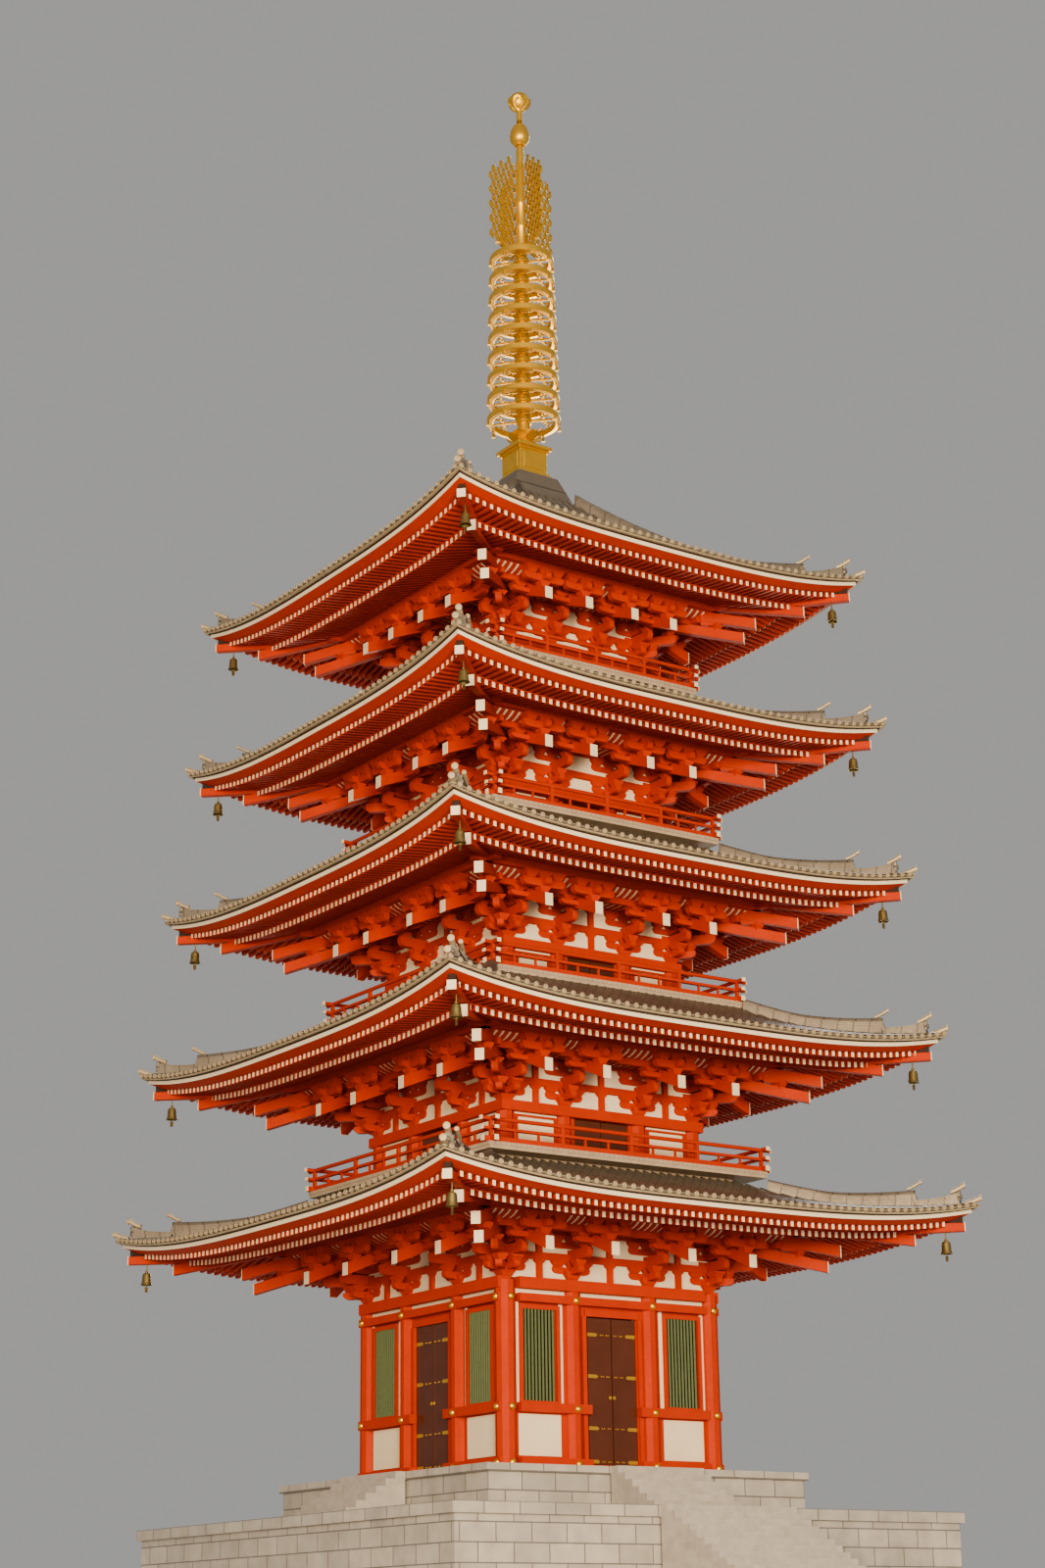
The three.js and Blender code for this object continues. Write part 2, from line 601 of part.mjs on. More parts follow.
// One side of the railing is a panel with two rows of openings between its posts.
function railing(balcony) {
  const { half, z } = balcony;
  const line = half - RAIL.inset;
  const deck = z + DECK + GAP;
  const postSpan = [-line - RAIL.thick / 2, -line + RAIL.thick / 2];
  const panel = box([-line, line], postSpan, [deck, deck + RAIL.top]);
  const bay = (2 * line) / RAIL.bays;
  const holes = [];
  for (let i = 0; i < RAIL.bays; i += 1) {
    const x = [-line + i * bay + RAIL.thick / 2, -line + (i + 1) * bay - RAIL.thick / 2];
    const y = [-line - RAIL.thick, -line + RAIL.thick];
    holes.push(box(x, y, [deck + RAIL.toe, deck + RAIL.top - RAIL.bar]));
  }
  const ends = box([-line - RAIL.past, line + RAIL.past], postSpan,
    [deck + RAIL.top - RAIL.bar, deck + RAIL.top]);
  const corner = box(postSpan, postSpan, [deck, deck + RAIL.cornerHeight]);
  return onFourSides(union([panel.subtract(union(holes)), ends, corner]));
}

function addStoreys() {
  STOREYS.forEach((storey, i) => {
    const number = i + 1;
    addPiece(`storey_${number}_brackets`, brackets(storey), 'red');
    addPiece(`storey_${number}_eaves`, eaves(storey), 'red');
    if (i < BALCONIES.length) {
      const balcony = BALCONIES[i];
      const next = STOREYS[i + 1];
      const inner = balcony.half - SKIRT.inset + GAP;
      const edge = balcony.half + GAP;
      const above = box([-edge, edge], [-edge, edge], [balcony.z - GAP, balcony.z + ABOVE]);
      addPiece(`roof_${number}`, roof(storey, inner, plainCrown(inner)).subtract(above), 'tile');
      addPiece(`storey_${number + 1}_floor`, balconyFloor(storey, balcony), 'timber');
      addPiece(`storey_${number + 1}_railing`, railing(balcony), 'red');
      addPiece(`storey_${number + 1}_walls`, upperWalls(next, balcony.z + DECK + GAP), 'red');
    } else {
      addPiece(`roof_${number}`, roof(storey, FINIAL.base.half + 0.06, topCrown()), 'tile');
    }
  });
}

// Finial

function finialBasin() {
  const { basin, base } = FINIAL;
  const foot = base.top + GAP;
  const body = box([-basin.half, basin.half], [-basin.half, basin.half], [foot, basin.top]);
  const lipSpan = [-basin.lip, basin.lip];
  const lip = box(lipSpan, lipSpan, [basin.top - basin.lipHeight, basin.top]);
  return union([body, lip]).subtract(post(BORE, BORE_SIDES, 0, 0, [foot - PAST, basin.top + PAST]));
}

function finialBowl() {
  const low = FINIAL.basin.top + GAP;
  const top = FINIAL.bowlTop;
  return lathe([[BORE, low], [0.5, low], [0.48, low + 0.18], [0.34, low + 0.33], [0.5, low + 0.42],
    [0.64, top - 0.02], [0.4, top], [BORE, top], [BORE, low]], BORE_SIDES);
}

// A flat wheel: a broad rim on four spokes and a hub.
function finialWheel(radius, z) {
  const { rings, sleeve } = FINIAL;
  const inner = radius - rings.width;
  const hub = sleeve + 0.05;
  const half = 0.07;
  const wheel = new THREE.Shape();
  for (let i = 0; i < rings.sides; i += 1) {
    const turn = (2 * Math.PI * i) / rings.sides;
    const place = [radius * Math.cos(turn), radius * Math.sin(turn)];
    if (i === 0) {
      wheel.moveTo(...place);
    } else {
      wheel.lineTo(...place);
    }
  }
  for (let quarter = 0; quarter < 4; quarter += 1) {
    const turn = (quarter * Math.PI) / 2;
    const corners = [[hub, half], [inner, half], [inner * Math.SQRT1_2, inner * Math.SQRT1_2], [half, inner],
      [half, hub]];
    const hole = new THREE.Path(corners.map(([x, y]) => new THREE.Vector2(
      x * Math.cos(turn) - y * Math.sin(turn), x * Math.sin(turn) + y * Math.cos(turn))));
    wheel.holes.push(hole);
  }
  const geometry = new THREE.ExtrudeGeometry(wheel, { depth: rings.thick, bevelEnabled: false });
  geometry.translate(0, 0, z - rings.thick);
  return solid(geometry);
}

// Nine wheels, one above the other, whose hubs stand on each other round the pole.
function finialRings() {
  const { rings, sleeve, bowlTop, flame } = FINIAL;
  const z = [bowlTop + GAP, flame.from - GAP];
  const wheels = [];
  for (let i = 0; i < rings.count; i += 1) {
    const radius = rings.low + (rings.high - rings.low) * (i / (rings.count - 1));
    wheels.push(finialWheel(radius, rings.first + rings.pitch * i));
  }
  const bore = post(BORE, BORE_SIDES, 0, 0, [z[0] - PAST, z[1] + PAST]);
  return union([post(sleeve, 8, 0, 0, z), ...wheels]).subtract(bore);
}

// Four blades of flame on a sleeve.
function finialFlame() {
  const { from, to, reach, thick } = FINIAL.flame;
  const { sleeve } = FINIAL;
  const height = to - from;
  const outline = [[0.1, 0.05], [0.55, 0.0], [0.95, 0.1], [0.85, 0.3], [1.0, 0.55], [0.9, 0.72], [0.75, 0.9],
    [0.62, 1.0], [0.35, 0.88], [0.1, 0.8]].map(([u, v]) => [u * reach, from + v * height]);
  const blade = plate(outline, thick, TO_FRONT, UP);
  const tube = post(sleeve, 8, 0, 0, [from, to]);
  const bore = post(BORE, BORE_SIDES, 0, 0, [from - PAST, to + PAST]);
  return union([tube, onFourSides(blade)]).subtract(bore);
}

function addFinial() {
  const { base, pole, egg, jewel } = FINIAL;
  addPiece('finial_basin', finialBasin(), 'gold');
  addPiece('finial_bowl', finialBowl(), 'gold');
  addPiece('finial_pole', post(pole, 16, 0, 0, [base.top - 0.4, egg.from + 0.05]), 'gold');
  addPiece('finial_rings', finialRings(), 'gold');
  addPiece('finial_flame', finialFlame(), 'gold');
  const eggFoot = egg.from + 0.05 + GAP;
  addPiece('finial_egg', lathe([[0, eggFoot], [0.17, eggFoot], [egg.radius, egg.from + 0.38],
    [egg.radius * 0.8, egg.from + 0.7], [0.12, egg.to], [0.09, egg.to + 0.1],
    [0, egg.to + 0.1]], 16), 'gold');
  const jewelFoot = egg.to + 0.1 + GAP;
  addPiece('finial_jewel', lathe([[0, jewelFoot], [0.09, jewelFoot], [0.12, jewel.from],
    [0.32, jewel.from + 0.2], [jewel.radius, jewel.from + 0.42], [0.24, jewel.from + 0.72],
    [0.08, jewel.from + 0.95], [0, jewel.to]], 16), 'gold');
}

addTerrace();
addPodium();
addFirstStorey();
addStoreys();
addFinial();

export default pagoda;
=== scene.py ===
"""Looks of a five-storey pagoda on its terrace, at half of the real size.

Sizes here are in metres of the real building, measured up from the ground, with the tower's
centre line at the origin and the front towards -Y. A finished piece is halved, so that it
lies in the frame of the solids. Work is done on the front and turned to the other sides.
"""

import json
import logging
import math
from contextlib import contextmanager
from dataclasses import dataclass, field
from enum import Enum
from typing import Callable, Iterator, Sequence

import bpy
import numpy as np
from mathutils import Matrix, Vector

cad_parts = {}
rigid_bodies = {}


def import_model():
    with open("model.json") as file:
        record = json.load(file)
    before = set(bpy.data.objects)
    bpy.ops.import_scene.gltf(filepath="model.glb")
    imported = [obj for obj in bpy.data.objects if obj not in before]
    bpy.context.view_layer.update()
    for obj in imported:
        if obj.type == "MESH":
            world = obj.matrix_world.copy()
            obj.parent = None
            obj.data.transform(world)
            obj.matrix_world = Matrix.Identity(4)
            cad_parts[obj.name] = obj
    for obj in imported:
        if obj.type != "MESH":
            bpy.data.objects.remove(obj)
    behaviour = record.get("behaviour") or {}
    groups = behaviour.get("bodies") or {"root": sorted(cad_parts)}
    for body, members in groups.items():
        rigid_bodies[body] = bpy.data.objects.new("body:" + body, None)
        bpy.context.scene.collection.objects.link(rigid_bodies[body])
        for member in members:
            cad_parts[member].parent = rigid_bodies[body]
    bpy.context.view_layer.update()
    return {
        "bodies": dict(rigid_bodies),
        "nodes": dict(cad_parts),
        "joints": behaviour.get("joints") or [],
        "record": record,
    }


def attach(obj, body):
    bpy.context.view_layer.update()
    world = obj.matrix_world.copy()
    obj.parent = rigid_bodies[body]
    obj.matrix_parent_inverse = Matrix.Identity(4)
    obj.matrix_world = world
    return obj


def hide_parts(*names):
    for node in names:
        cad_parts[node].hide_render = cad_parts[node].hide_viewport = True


logging.basicConfig(level=logging.INFO, format="%(message)s")
LOG = logging.getLogger("pagoda")

Span = tuple[float, float]
Point = tuple[float, float]
Size = tuple[float, float]
Color = tuple[float, float, float]
Piece = bpy.types.Object
Tree = bpy.types.NodeTree
Rule = Callable[[np.ndarray], np.ndarray]

MODEL_SCALE = 0.5
TERRACE_Z = 5.0
LIFT = 0.61
LIFT_POWER = 3.2
DECK = 0.2
SKIRT_INSET = 0.72
FINIAL_BASE = (1.2, TERRACE_Z + 33.4)

ROOT2 = math.sqrt(2)
ALONG = Vector((1, 0, 0))
FRONT = Vector((0, -1, 0))
UP = Vector((0, 0, 1))
CORNER = Vector((-1, -1, 0)).normalized()
ACROSS = Vector((1, -1, 0)).normalized()


class Paint(Enum):
    """The finishes of the building, by the names of their materials."""

    VERMILION = "vermilion_paint"
    WHITE = "white_paint"
    PLASTER = "lime_plaster"
    TILE = "metal_tile"
    TILE_END = "tile_end"
    GREEN = "green_paint"
    GILT = "gilt_bronze"
    PATINA = "green_patina"
    STONE = "granite_blocks"
    STEP = "granite_step"
    DOOR = "brown_lacquer"
    DECK = "pale_boards"
    # Painted shade: near-black for the hollows over the hip noses, the gaps at the roofs' edges and the
    # window openings.
    DARK = "painted_deep_shade"
    # Painted shade: darker vermilion for the boards between the rafters.
    SHADE = "vermilion_painted_shade"


@dataclass(frozen=True)
class Finish:
    """A finish: its colour and gloss, and how they vary.

    scale sets the size of its patches, patches and dust their strength, and bump the
    strength of its fine relief.
    """

    color: Color
    roughness: float
    metallic: float
    scale: float
    patches: float
    dust: float
    bump: float


FINISHES = {
    Paint.VERMILION: Finish((0.46, 0.034, 0.006), 0.75, 0.0, 3.0, 0.16, 0.1, 0.12),
    # Painted shade: the vermilion darkened for the rafter boards, which stand in the rafters' shade.
    Paint.SHADE: Finish((0.2, 0.016, 0.006), 0.72, 0.0, 3.0, 0.16, 0.1, 0.12),
    Paint.WHITE: Finish((0.9, 0.77, 0.56), 0.6, 0.0, 4.0, 0.06, 0.1, 0.12),
    Paint.PLASTER: Finish((0.86, 0.73, 0.52), 0.85, 0.0, 2.0, 0.1, 0.14, 0.48),
    Paint.TILE_END: Finish((0.48, 0.39, 0.26), 0.5, 0.4, 6.0, 0.2, 0.2, 0.24),
    Paint.GREEN: Finish((0.055, 0.085, 0.022), 0.55, 0.0, 4.0, 0.15, 0.1, 0.12),
    Paint.GILT: Finish((0.9, 0.5, 0.09), 0.42, 0.85, 5.0, 0.14, 0.1, 0.18),
    Paint.PATINA: Finish((0.22, 0.17, 0.07), 0.45, 0.8, 9.0, 0.35, 0.3, 0.6),
    Paint.DOOR: Finish((0.09, 0.028, 0.014), 0.35, 0.0, 3.0, 0.2, 0.1, 0.18),
    Paint.DECK: Finish((0.42, 0.33, 0.24), 0.7, 0.0, 5.0, 0.25, 0.2, 0.36),
    # Painted shade: near-black for hollows, gaps and openings that lie in deep shade.
    Paint.DARK: Finish((0.03, 0.012, 0.008), 0.8, 0.0, 3.0, 0.1, 0.0, 0.12),
    Paint.STEP: Finish((0.42, 0.39, 0.35), 0.8, 0.0, 6.0, 0.25, 0.25, 0.9),
}
TILE_FINISH = Finish((0.19, 0.165, 0.135), 0.5, 0.55, 2.2, 0.35, 0.3, 0.6)
STONE_FINISH = Finish((0.46, 0.43, 0.38), 0.85, 0.0, 3.0, 0.3, 0.2, 0.8)


@dataclass(frozen=True)
class Storey:
    """One storey's driving sizes.

    eave is the half width at the fascia and eave_z its top at mid side. wall is the half width
    at the column centres, bay the place of the inner columns, head the top of the walls.
    slope and sag shape the tiled surface.
    """

    number: int
    eave: float
    eave_z: float
    wall: float
    bay: float
    head: float
    slope: float
    sag: float

    PURLIN_OUT = 1.95
    TILE_PAST = 0.17
    TILE_RISE = 0.14
    LOWER_INSET = 1.45
    UPPER_INSET = 0.42
    RAFTER_DROP = 0.435
    RAFTER_SLOPE = 0.3
    EAVES_CURVE = 1.5
    TILE_LIFT_RUN = 3.2
    TILE_CURVE = 1.2

    @property
    def purlin(self) -> float:
        """Half width at the outer purlin's centre line."""
        return self.wall + self.PURLIN_OUT

    @property
    def lower(self) -> float:
        """Half width at the lower rafters' ends."""
        return self.eave - self.LOWER_INSET

    @property
    def upper(self) -> float:
        """Half width at the upper rafters' ends."""
        return self.eave - self.UPPER_INSET

    @property
    def edge(self) -> float:
        """Half width at the edge of the tiles."""
        return self.eave + self.TILE_PAST

    def lift_share(self, reach: np.ndarray | float) -> np.ndarray | float:
        """Share of the corner's lift that the eaves take.

        Args:
            reach: Distance out from the centre line, square to the side.

        Returns:
            0 inside the purlin, 1 at the fascia.
        """
        run = (reach - self.purlin) / (self.eave - self.purlin)
        return np.clip(run, 0.0, 1.0) ** self.EAVES_CURVE

    def corner_z(self, reach: float) -> float:
        """Height of the fascia's top, turned up as the eaves are on the hip."""
        return self.eave_z + LIFT * float(self.lift_share(reach))

    def rafter_z(self, reach: float) -> float:
        """Underside of the lower rafters at that distance from the centre line."""
        return self.eave_z - self.RAFTER_DROP + self.RAFTER_SLOPE * (self.lower - reach)

    def tile_z(self, reach: np.ndarray | float) -> np.ndarray | float:
        """Height of the tiled surface at mid side."""
        run = self.edge - reach
        return self.eave_z + self.TILE_RISE + self.slope * run + self.sag * run * run

    def tile_lift(self, reach: np.ndarray | float) -> np.ndarray | float:
        """Share of the corner's lift that the tiles take."""
        return np.maximum(0.0, 1.0 - (self.edge - reach) / self.TILE_LIFT_RUN) ** self.TILE_CURVE

    def hip_z(self, reach: np.ndarray | float) -> np.ndarray | float:
        """Height of the tiled surface on the hip."""
        return self.tile_z(reach) + LIFT * self.tile_lift(reach)


STOREYS = (
    Storey(1, 9.25, TERRACE_Z + 8.03, 3.63, 1.37, TERRACE_Z + 6.47, 0.15, 0.03),
    Storey(2, 8.78, TERRACE_Z + 13.19, 3.41, 1.36, TERRACE_Z + 11.57, 0.22, 0.04),
    Storey(3, 8.34, TERRACE_Z + 18.25, 3.06, 1.25, TERRACE_Z + 16.57, 0.22, 0.04),
    Storey(4, 7.88, TERRACE_Z + 23.22, 2.74, 1.08, TERRACE_Z + 21.62, 0.22, 0.04),
    Storey(5, 7.59, TERRACE_Z + 28.25, 2.42, 0.88, TERRACE_Z + 26.6, 0.22, 0.06),
)
BALCONIES = {
    2: (5.02, TERRACE_Z + 9.8),
    3: (4.65, TERRACE_Z + 15.06),
    4: (4.25, TERRACE_Z + 20.36),
    5: (3.87, TERRACE_Z + 25.41),
}


def slant(reach: Span, low: Span, height: float) -> list[Point]:
    """The outline of a beam that slopes along its length.

    Args:
        reach: Places of its two ends.
        low: Its underside at those ends.
        height: Its upright height.

    Returns:
        The four corners in order.
    """
    (r0, r1), (z0, z1) = reach, low
    return [(r0, z0), (r1, z1), (r1, z1 + height), (r0, z0 + height)]


def oblong(u: Span, v: Span) -> list[Point]:
    """The outline of an oblong."""
    return [(u[0], v[0]), (u[1], v[0]), (u[1], v[1]), (u[0], v[1])]


def twofold(half: Sequence[Point]) -> list[Point]:
    """The whole of an outline from its right half, from the foot up to the top."""
    (u, v), rest = half[0], half[1:]
    return [(-u, v), *half, *((-a, b) for a, b in reversed(rest) if a)]


def shift(outline: Sequence[Point], u: float, v: float) -> list[Point]:
    """Moves an outline."""
    return [(a + u, b + v) for a, b in outline]


def crescent(start: float, sweep: float, radius: float, thick: float, steps: int = 7) -> list[Point]:
    """The outline of a curl that tapers to both ends.

    Args:
        start: Angle in degrees at which it begins.
        sweep: Angle in degrees that it turns through.
        radius: Radius of its middle line.
        thick: Its thickness at the middle.
        steps: Number of corners along each edge.

    Returns:
        The corners in order.
    """
    outer, inner = [], []
    for i in range(steps):
        share = i / (steps - 1)
        turn = math.radians(start + sweep * share)
        half = thick / 2 * (0.25 + 0.75 * math.sin(math.pi * min(1.0, 0.12 + 0.88 * share)))
        outer.append(((radius + half) * math.cos(turn), (radius + half) * math.sin(turn)))
        inner.append(((radius - half) * math.cos(turn), (radius - half) * math.sin(turn)))
    return outer + inner[::-1]


def turned_up(share: Rule) -> Rule:
    """The rule that turns a front piece up towards the corners.

    Args:
        share: Gives the share of the corner's lift at a distance from the centre line.

    Returns:
        A rule that takes places and returns the new ones.
    """

    def move(places: np.ndarray) -> np.ndarray:
        """Lifts places by their distance along and out from the front."""
        reach = np.maximum(-places[:, 1], 1e-6)
        along = np.minimum(np.abs(places[:, 0]) / reach, 1.03)
        places[:, 2] += LIFT * share(reach) * along ** LIFT_POWER
        return places

    return move


class Bench:
    """The modelling bench: each tool works on one mesh at a time, as by hand."""

    STRIP_STEPS = 40
    PAST_HIPS = 2.2

    @staticmethod
    def clear() -> None:
        """Leaves nothing selected."""
        bpy.ops.object.select_all(action="DESELECT")

    @staticmethod
    def pick(piece: Piece) -> None:
        """Selects one piece alone."""
        Bench.clear()
        piece.select_set(True)
        bpy.context.view_layer.objects.active = piece

    @staticmethod
    @contextmanager
    def editing(piece: Piece) -> Iterator[None]:
        """Opens a piece in edit mode, with all of it selected, and closes it again.

        Args:
            piece: The piece.

        Yields:
            Nothing, while the piece is open.
        """
        Bench.pick(piece)
        bpy.ops.object.mode_set(mode="EDIT")
        bpy.ops.mesh.select_all(action="SELECT")
        yield
        bpy.ops.object.mode_set(mode="OBJECT")

    @staticmethod
    def finish(piece: Piece, kind: str, **values: object) -> Piece:
        """Adds a modifier with its values and applies it.

        Args:
            piece: The piece.
            kind: The modifier's kind.
            **values: Its values by their names.

        Returns:
            The piece.
        """
        Bench.pick(piece)
        modifier = piece.modifiers.new(kind.lower(), kind)
        for key, value in values.items():
            setattr(modifier, key, value)
        bpy.ops.object.modifier_apply(modifier=modifier.name)
        return piece

    @staticmethod
    def coat(piece: Piece, paint: Paint) -> None:
        """Gives a piece one finish."""
        piece.data.materials.clear()
        piece.data.materials.append(bpy.data.materials[paint.value])

    @staticmethod
    def block(x: Span, y: Span, z: Span, paint: Paint) -> Piece:
        """Squared timber or stone.

        Args:
            x, y, z: Its span along each axis.
            paint: Its finish.

        Returns:
            The new block.
        """
        spans = (x, y, z)
        bpy.ops.mesh.primitive_cube_add(size=1, location=[(s[0] + s[1]) / 2 for s in spans])
        piece = bpy.context.object
        piece.scale = [s[1] - s[0] for s in spans]
        bpy.ops.object.transform_apply(location=True, rotation=True, scale=True)
        Bench.coat(piece, paint)
        return piece

    @staticmethod
    def frame(x: Span, y: Span, z: Span, rim: Size, paint: Paint) -> list[Piece]:
        """Four boards round an opening.

        Args:
            x, z: The opening's spans.
            y: The boards' span in depth.
            rim: Width of the upright boards, and height of the level ones.
            paint: Their finish.

        Returns:
            The boards.
        """
        (x0, x1), (z0, z1), (side, level) = x, z, rim
        tall = (z0 - level, z1 + level)
        return [
            Bench.block((x0 - side, x0), y, tall, paint),
            Bench.block((x1, x1 + side), y, tall, paint),
            Bench.block(x, y, (z1, z1 + level), paint),
            Bench.block(x, y, (z0 - level, z0), paint),
        ]

    @staticmethod
    def round_bar(radius: float, z: Span, paint: Paint, sides: int = 16) -> Piece:
        """An upright round bar on the centre line.

        Args:
            radius: Its radius.
            z: Its span upwards.
            paint: Its finish.
            sides: Number of flats.

        Returns:
            The new bar.
        """
        middle = (z[0] + z[1]) / 2
        bpy.ops.mesh.primitive_cone_add(vertices=sides, radius1=radius, radius2=radius,
                                        depth=z[1] - z[0], location=(0, 0, middle))
        piece = bpy.context.object
        bpy.ops.object.transform_apply(location=True, rotation=True, scale=True)
        Bench.coat(piece, paint)
        return piece

    @staticmethod
    def plate(outline: Sequence[Point], thick: float, paint: Paint, out: Vector = FRONT,
              up: Vector = UP, steps: int = 1) -> Piece:
        """A shape cut from a board and extruded to its thickness, which is centred.

        Args:
            outline: Corners in the plane of out and up, in order.
            thick: Thickness across that plane.
            paint: Its finish.
            out, up: The outline's two directions.
            steps: Number of extrusions, for a piece that is bent later.

        Returns:
            The new plate.
        """
        bpy.ops.mesh.primitive_circle_add(vertices=len(outline), radius=1, fill_type="NGON")
        piece = bpy.context.object
        for vertex, (u, v) in zip(piece.data.vertices, outline):
            vertex.co = (u, v, -thick / 2)
        with Bench.editing(piece):
            for _ in range(steps):
                bpy.ops.mesh.extrude_region_move(
                    TRANSFORM_OT_translate={"value": (0, 0, thick / steps)})
        piece.data.transform(Matrix((out, up, out.cross(up))).transposed().to_4x4())
        Bench.outward(piece)
        Bench.coat(piece, paint)
        return piece

    @staticmethod
    def spin(profile: Sequence[Point], paint: Paint, sides: int = 24) -> Piece:
        """A turned piece on the centre line.

        Args:
            profile: Radius and height of each corner, in order.
            paint: Its finish.
            sides: Number of steps of the spin.

        Returns:
            The new piece, closed.
        """
        bpy.ops.mesh.primitive_circle_add(vertices=len(profile), radius=1, fill_type="NOTHING")
        piece = bpy.context.object
        for vertex, (radius, z) in zip(piece.data.vertices, profile):
            vertex.co = (radius, 0, z)
        with Bench.editing(piece):
            bpy.ops.mesh.spin(steps=sides, angle=2 * math.pi, center=(0, 0, 0), axis=(0, 0, 1))
            bpy.ops.mesh.select_all(action="SELECT")
            bpy.ops.mesh.remove_doubles(threshold=1e-5)
        Bench.outward(piece)
        Bench.coat(piece, paint)
        return piece

    @staticmethod
    def facing(profile: Sequence[Point], paint: Paint, sides: int) -> Piece:
        """A turned piece that faces the front."""
        return Bench.turn(Bench.spin(profile, paint, sides), 90, "X")

    @staticmethod
    def outward(piece: Piece) -> None:
        """Turns all faces outwards."""
        with Bench.editing(piece):
            bpy.ops.mesh.dissolve_degenerate(threshold=1e-6)
            bpy.ops.mesh.normals_make_consistent(inside=False)

    @staticmethod
    def bevel(piece: Piece, width: float, segments: int = 1) -> Piece:
        """Takes the sharp edge off a piece."""
        return Bench.finish(piece, "BEVEL", width=width, segments=segments, limit_method="ANGLE")

    @staticmethod
    def smooth(piece: Piece, angle: float = 40) -> Piece:
        """Shades round stretches smooth and leaves edges sharper than the angle."""
        Bench.pick(piece)
        bpy.ops.object.shade_smooth_by_angle(angle=math.radians(angle))
        return piece

    @staticmethod
    def row(piece: Piece, count: int, pitch: float, merge: bool = False) -> Piece:
        """Repeats a piece to the right and keeps the row as one mesh."""
        return Bench.finish(piece, "ARRAY", count=count, use_relative_offset=False,
                            use_constant_offset=True, constant_offset_displace=(pitch, 0, 0),
                            use_merge_vertices=merge, merge_threshold=1e-4)

    @staticmethod
    def centred_row(piece: Piece, count: int, pitch: float, merge: bool = False) -> Piece:
        """Repeats a piece in a row on both sides of the front's centre line."""
        Bench.warp(piece, lambda places: places - [(count - 1) * pitch / 2, 0, 0])
        return Bench.row(piece, count, pitch, merge)

    @staticmethod
    def move(piece: Piece, x: float = 0, y: float = 0, z: float = 0) -> Piece:
        """Moves a piece."""
        piece.data.transform(Matrix.Translation((x, y, z)))
        return piece

    @staticmethod
    def turn(piece: Piece, degrees: float, axis: str | Vector = "Z") -> Piece:
        """Turns a piece about an axis through the origin."""
        piece.data.transform(Matrix.Rotation(math.radians(degrees), 4, axis))
        return piece

    @staticmethod
    def copy(piece: Piece, place: Matrix) -> Piece:
        """A copy with its own mesh, put in its place.

        Args:
            piece: What is copied.
            place: The move, turn or mirroring from there.

        Returns:
            The copy.
        """
        twin = piece.copy()
        twin.data = piece.data.copy()
        twin.data.transform(place)
        bpy.context.scene.collection.objects.link(twin)
        if place.to_3x3().determinant() < 0:
            twin.data.flip_normals()
        return twin

    @staticmethod
    def join(pieces: Sequence[Piece]) -> Piece:
        """Joins pieces into the first.

        Args:
            pieces: The pieces.

        Returns:
            The first, with all the others in it.
        """
        Bench.clear()
        for piece in pieces:
            piece.select_set(True)
        bpy.context.view_layer.objects.active = pieces[0]
        if len(pieces) > 1:
            bpy.ops.object.join()
        return pieces[0]

    @staticmethod
    def mitre(piece: Piece, closed: bool = True) -> Piece:
        """Saws a front piece to the two hips, on the diagonals.

        Args:
            piece: The piece.
            closed: Whether the cuts are closed.

        Returns:
            The piece.
        """
        for side in (1, -1):
            with Bench.editing(piece):
                bpy.ops.mesh.bisect(plane_co=(0, 0, 0), plane_no=(side, 1, 0), use_fill=closed,
                                    clear_outer=True)
        return piece

    @staticmethod
    def strip(outline: Sequence[Point], paint: Paint, reach: float | None = None) -> Piece:
        """A board along the whole front, mitred, with enough steps to bend.

        Args:
            outline: Its section, by distance from the centre line and height.
            paint: Its finish.
            reach: Half width that it has to span; its own outer edge if left out.

        Returns:
            The board.
        """
        reach = reach or max(u for u, _ in outline)
        return Bench.mitre(Bench.plate(outline, Bench.PAST_HIPS * reach, paint, steps=Bench.STRIP_STEPS))

    @staticmethod
    def warp(piece: Piece, move: Rule) -> Piece:
        """Moves every vertex by a rule.

        Args:
            piece: The mesh to shape.
            move: Takes an array of places and returns the new ones.

        Returns:
            The same piece.
        """
        places = np.zeros(len(piece.data.vertices) * 3)
        piece.data.vertices.foreach_get("co", places)
        places = move(places.reshape(-1, 3))
        piece.data.vertices.foreach_set("co", places.reshape(-1))
        piece.data.update()
        return piece

    @staticmethod
    def around(piece: Piece, count: int, first: float = 0) -> Piece:
        """Repeats a piece round the centre line.

        Args:
            piece: The piece, before its turn.
            count: How many there are in the end.
            first: Degrees by which the first of them is turned.

        Returns:
            All of them, as one mesh.
        """
        turns = [Matrix.Rotation(math.radians(first + 360 * i / count), 4, "Z") for i in range(count)]
        copies = [Bench.copy(piece, turn) for turn in turns[1:]]
        piece.data.transform(turns[0])
        return Bench.join([piece, *copies])

    @staticmethod
    def four_sides(piece: Piece) -> Piece:
        """Repeats a front piece on the other three sides."""
        return Bench.around(piece, 4)

    @staticmethod
    def mirrored(piece: Piece) -> Piece:
        """Adds a piece's mirror image across the front's centre line."""
        return Bench.join([piece, Bench.copy(piece, Matrix.Scale(-1, 4, ALONG))])

    @staticmethod
    def keep(piece: Piece, name: str, paint: Paint, node: str | None = None, body: str = "root") -> None:
        """Halves a finished piece and gives it its name and body.

        Args:
            piece: The finished mesh, in real metres.
            name: The name it goes by.
            paint: Not used.
            node: The solid that it stands for, if any.
            body: The body that carries it.
        """
        piece.data.transform(Matrix.Scale(MODEL_SCALE, 4))
        piece.name = name
        piece.data.name = name
        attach(piece, body)
        if node:
            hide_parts(node)
        LOG.info("%s: %d faces", name, len(piece.data.polygons))

    @staticmethod
    def keep_round(piece: Piece, name: str, paint: Paint, node: str | None = None) -> None:
        """Repeats a finished front piece on the other three sides and keeps it."""
        Bench.keep(Bench.four_sides(piece), name, paint, node)


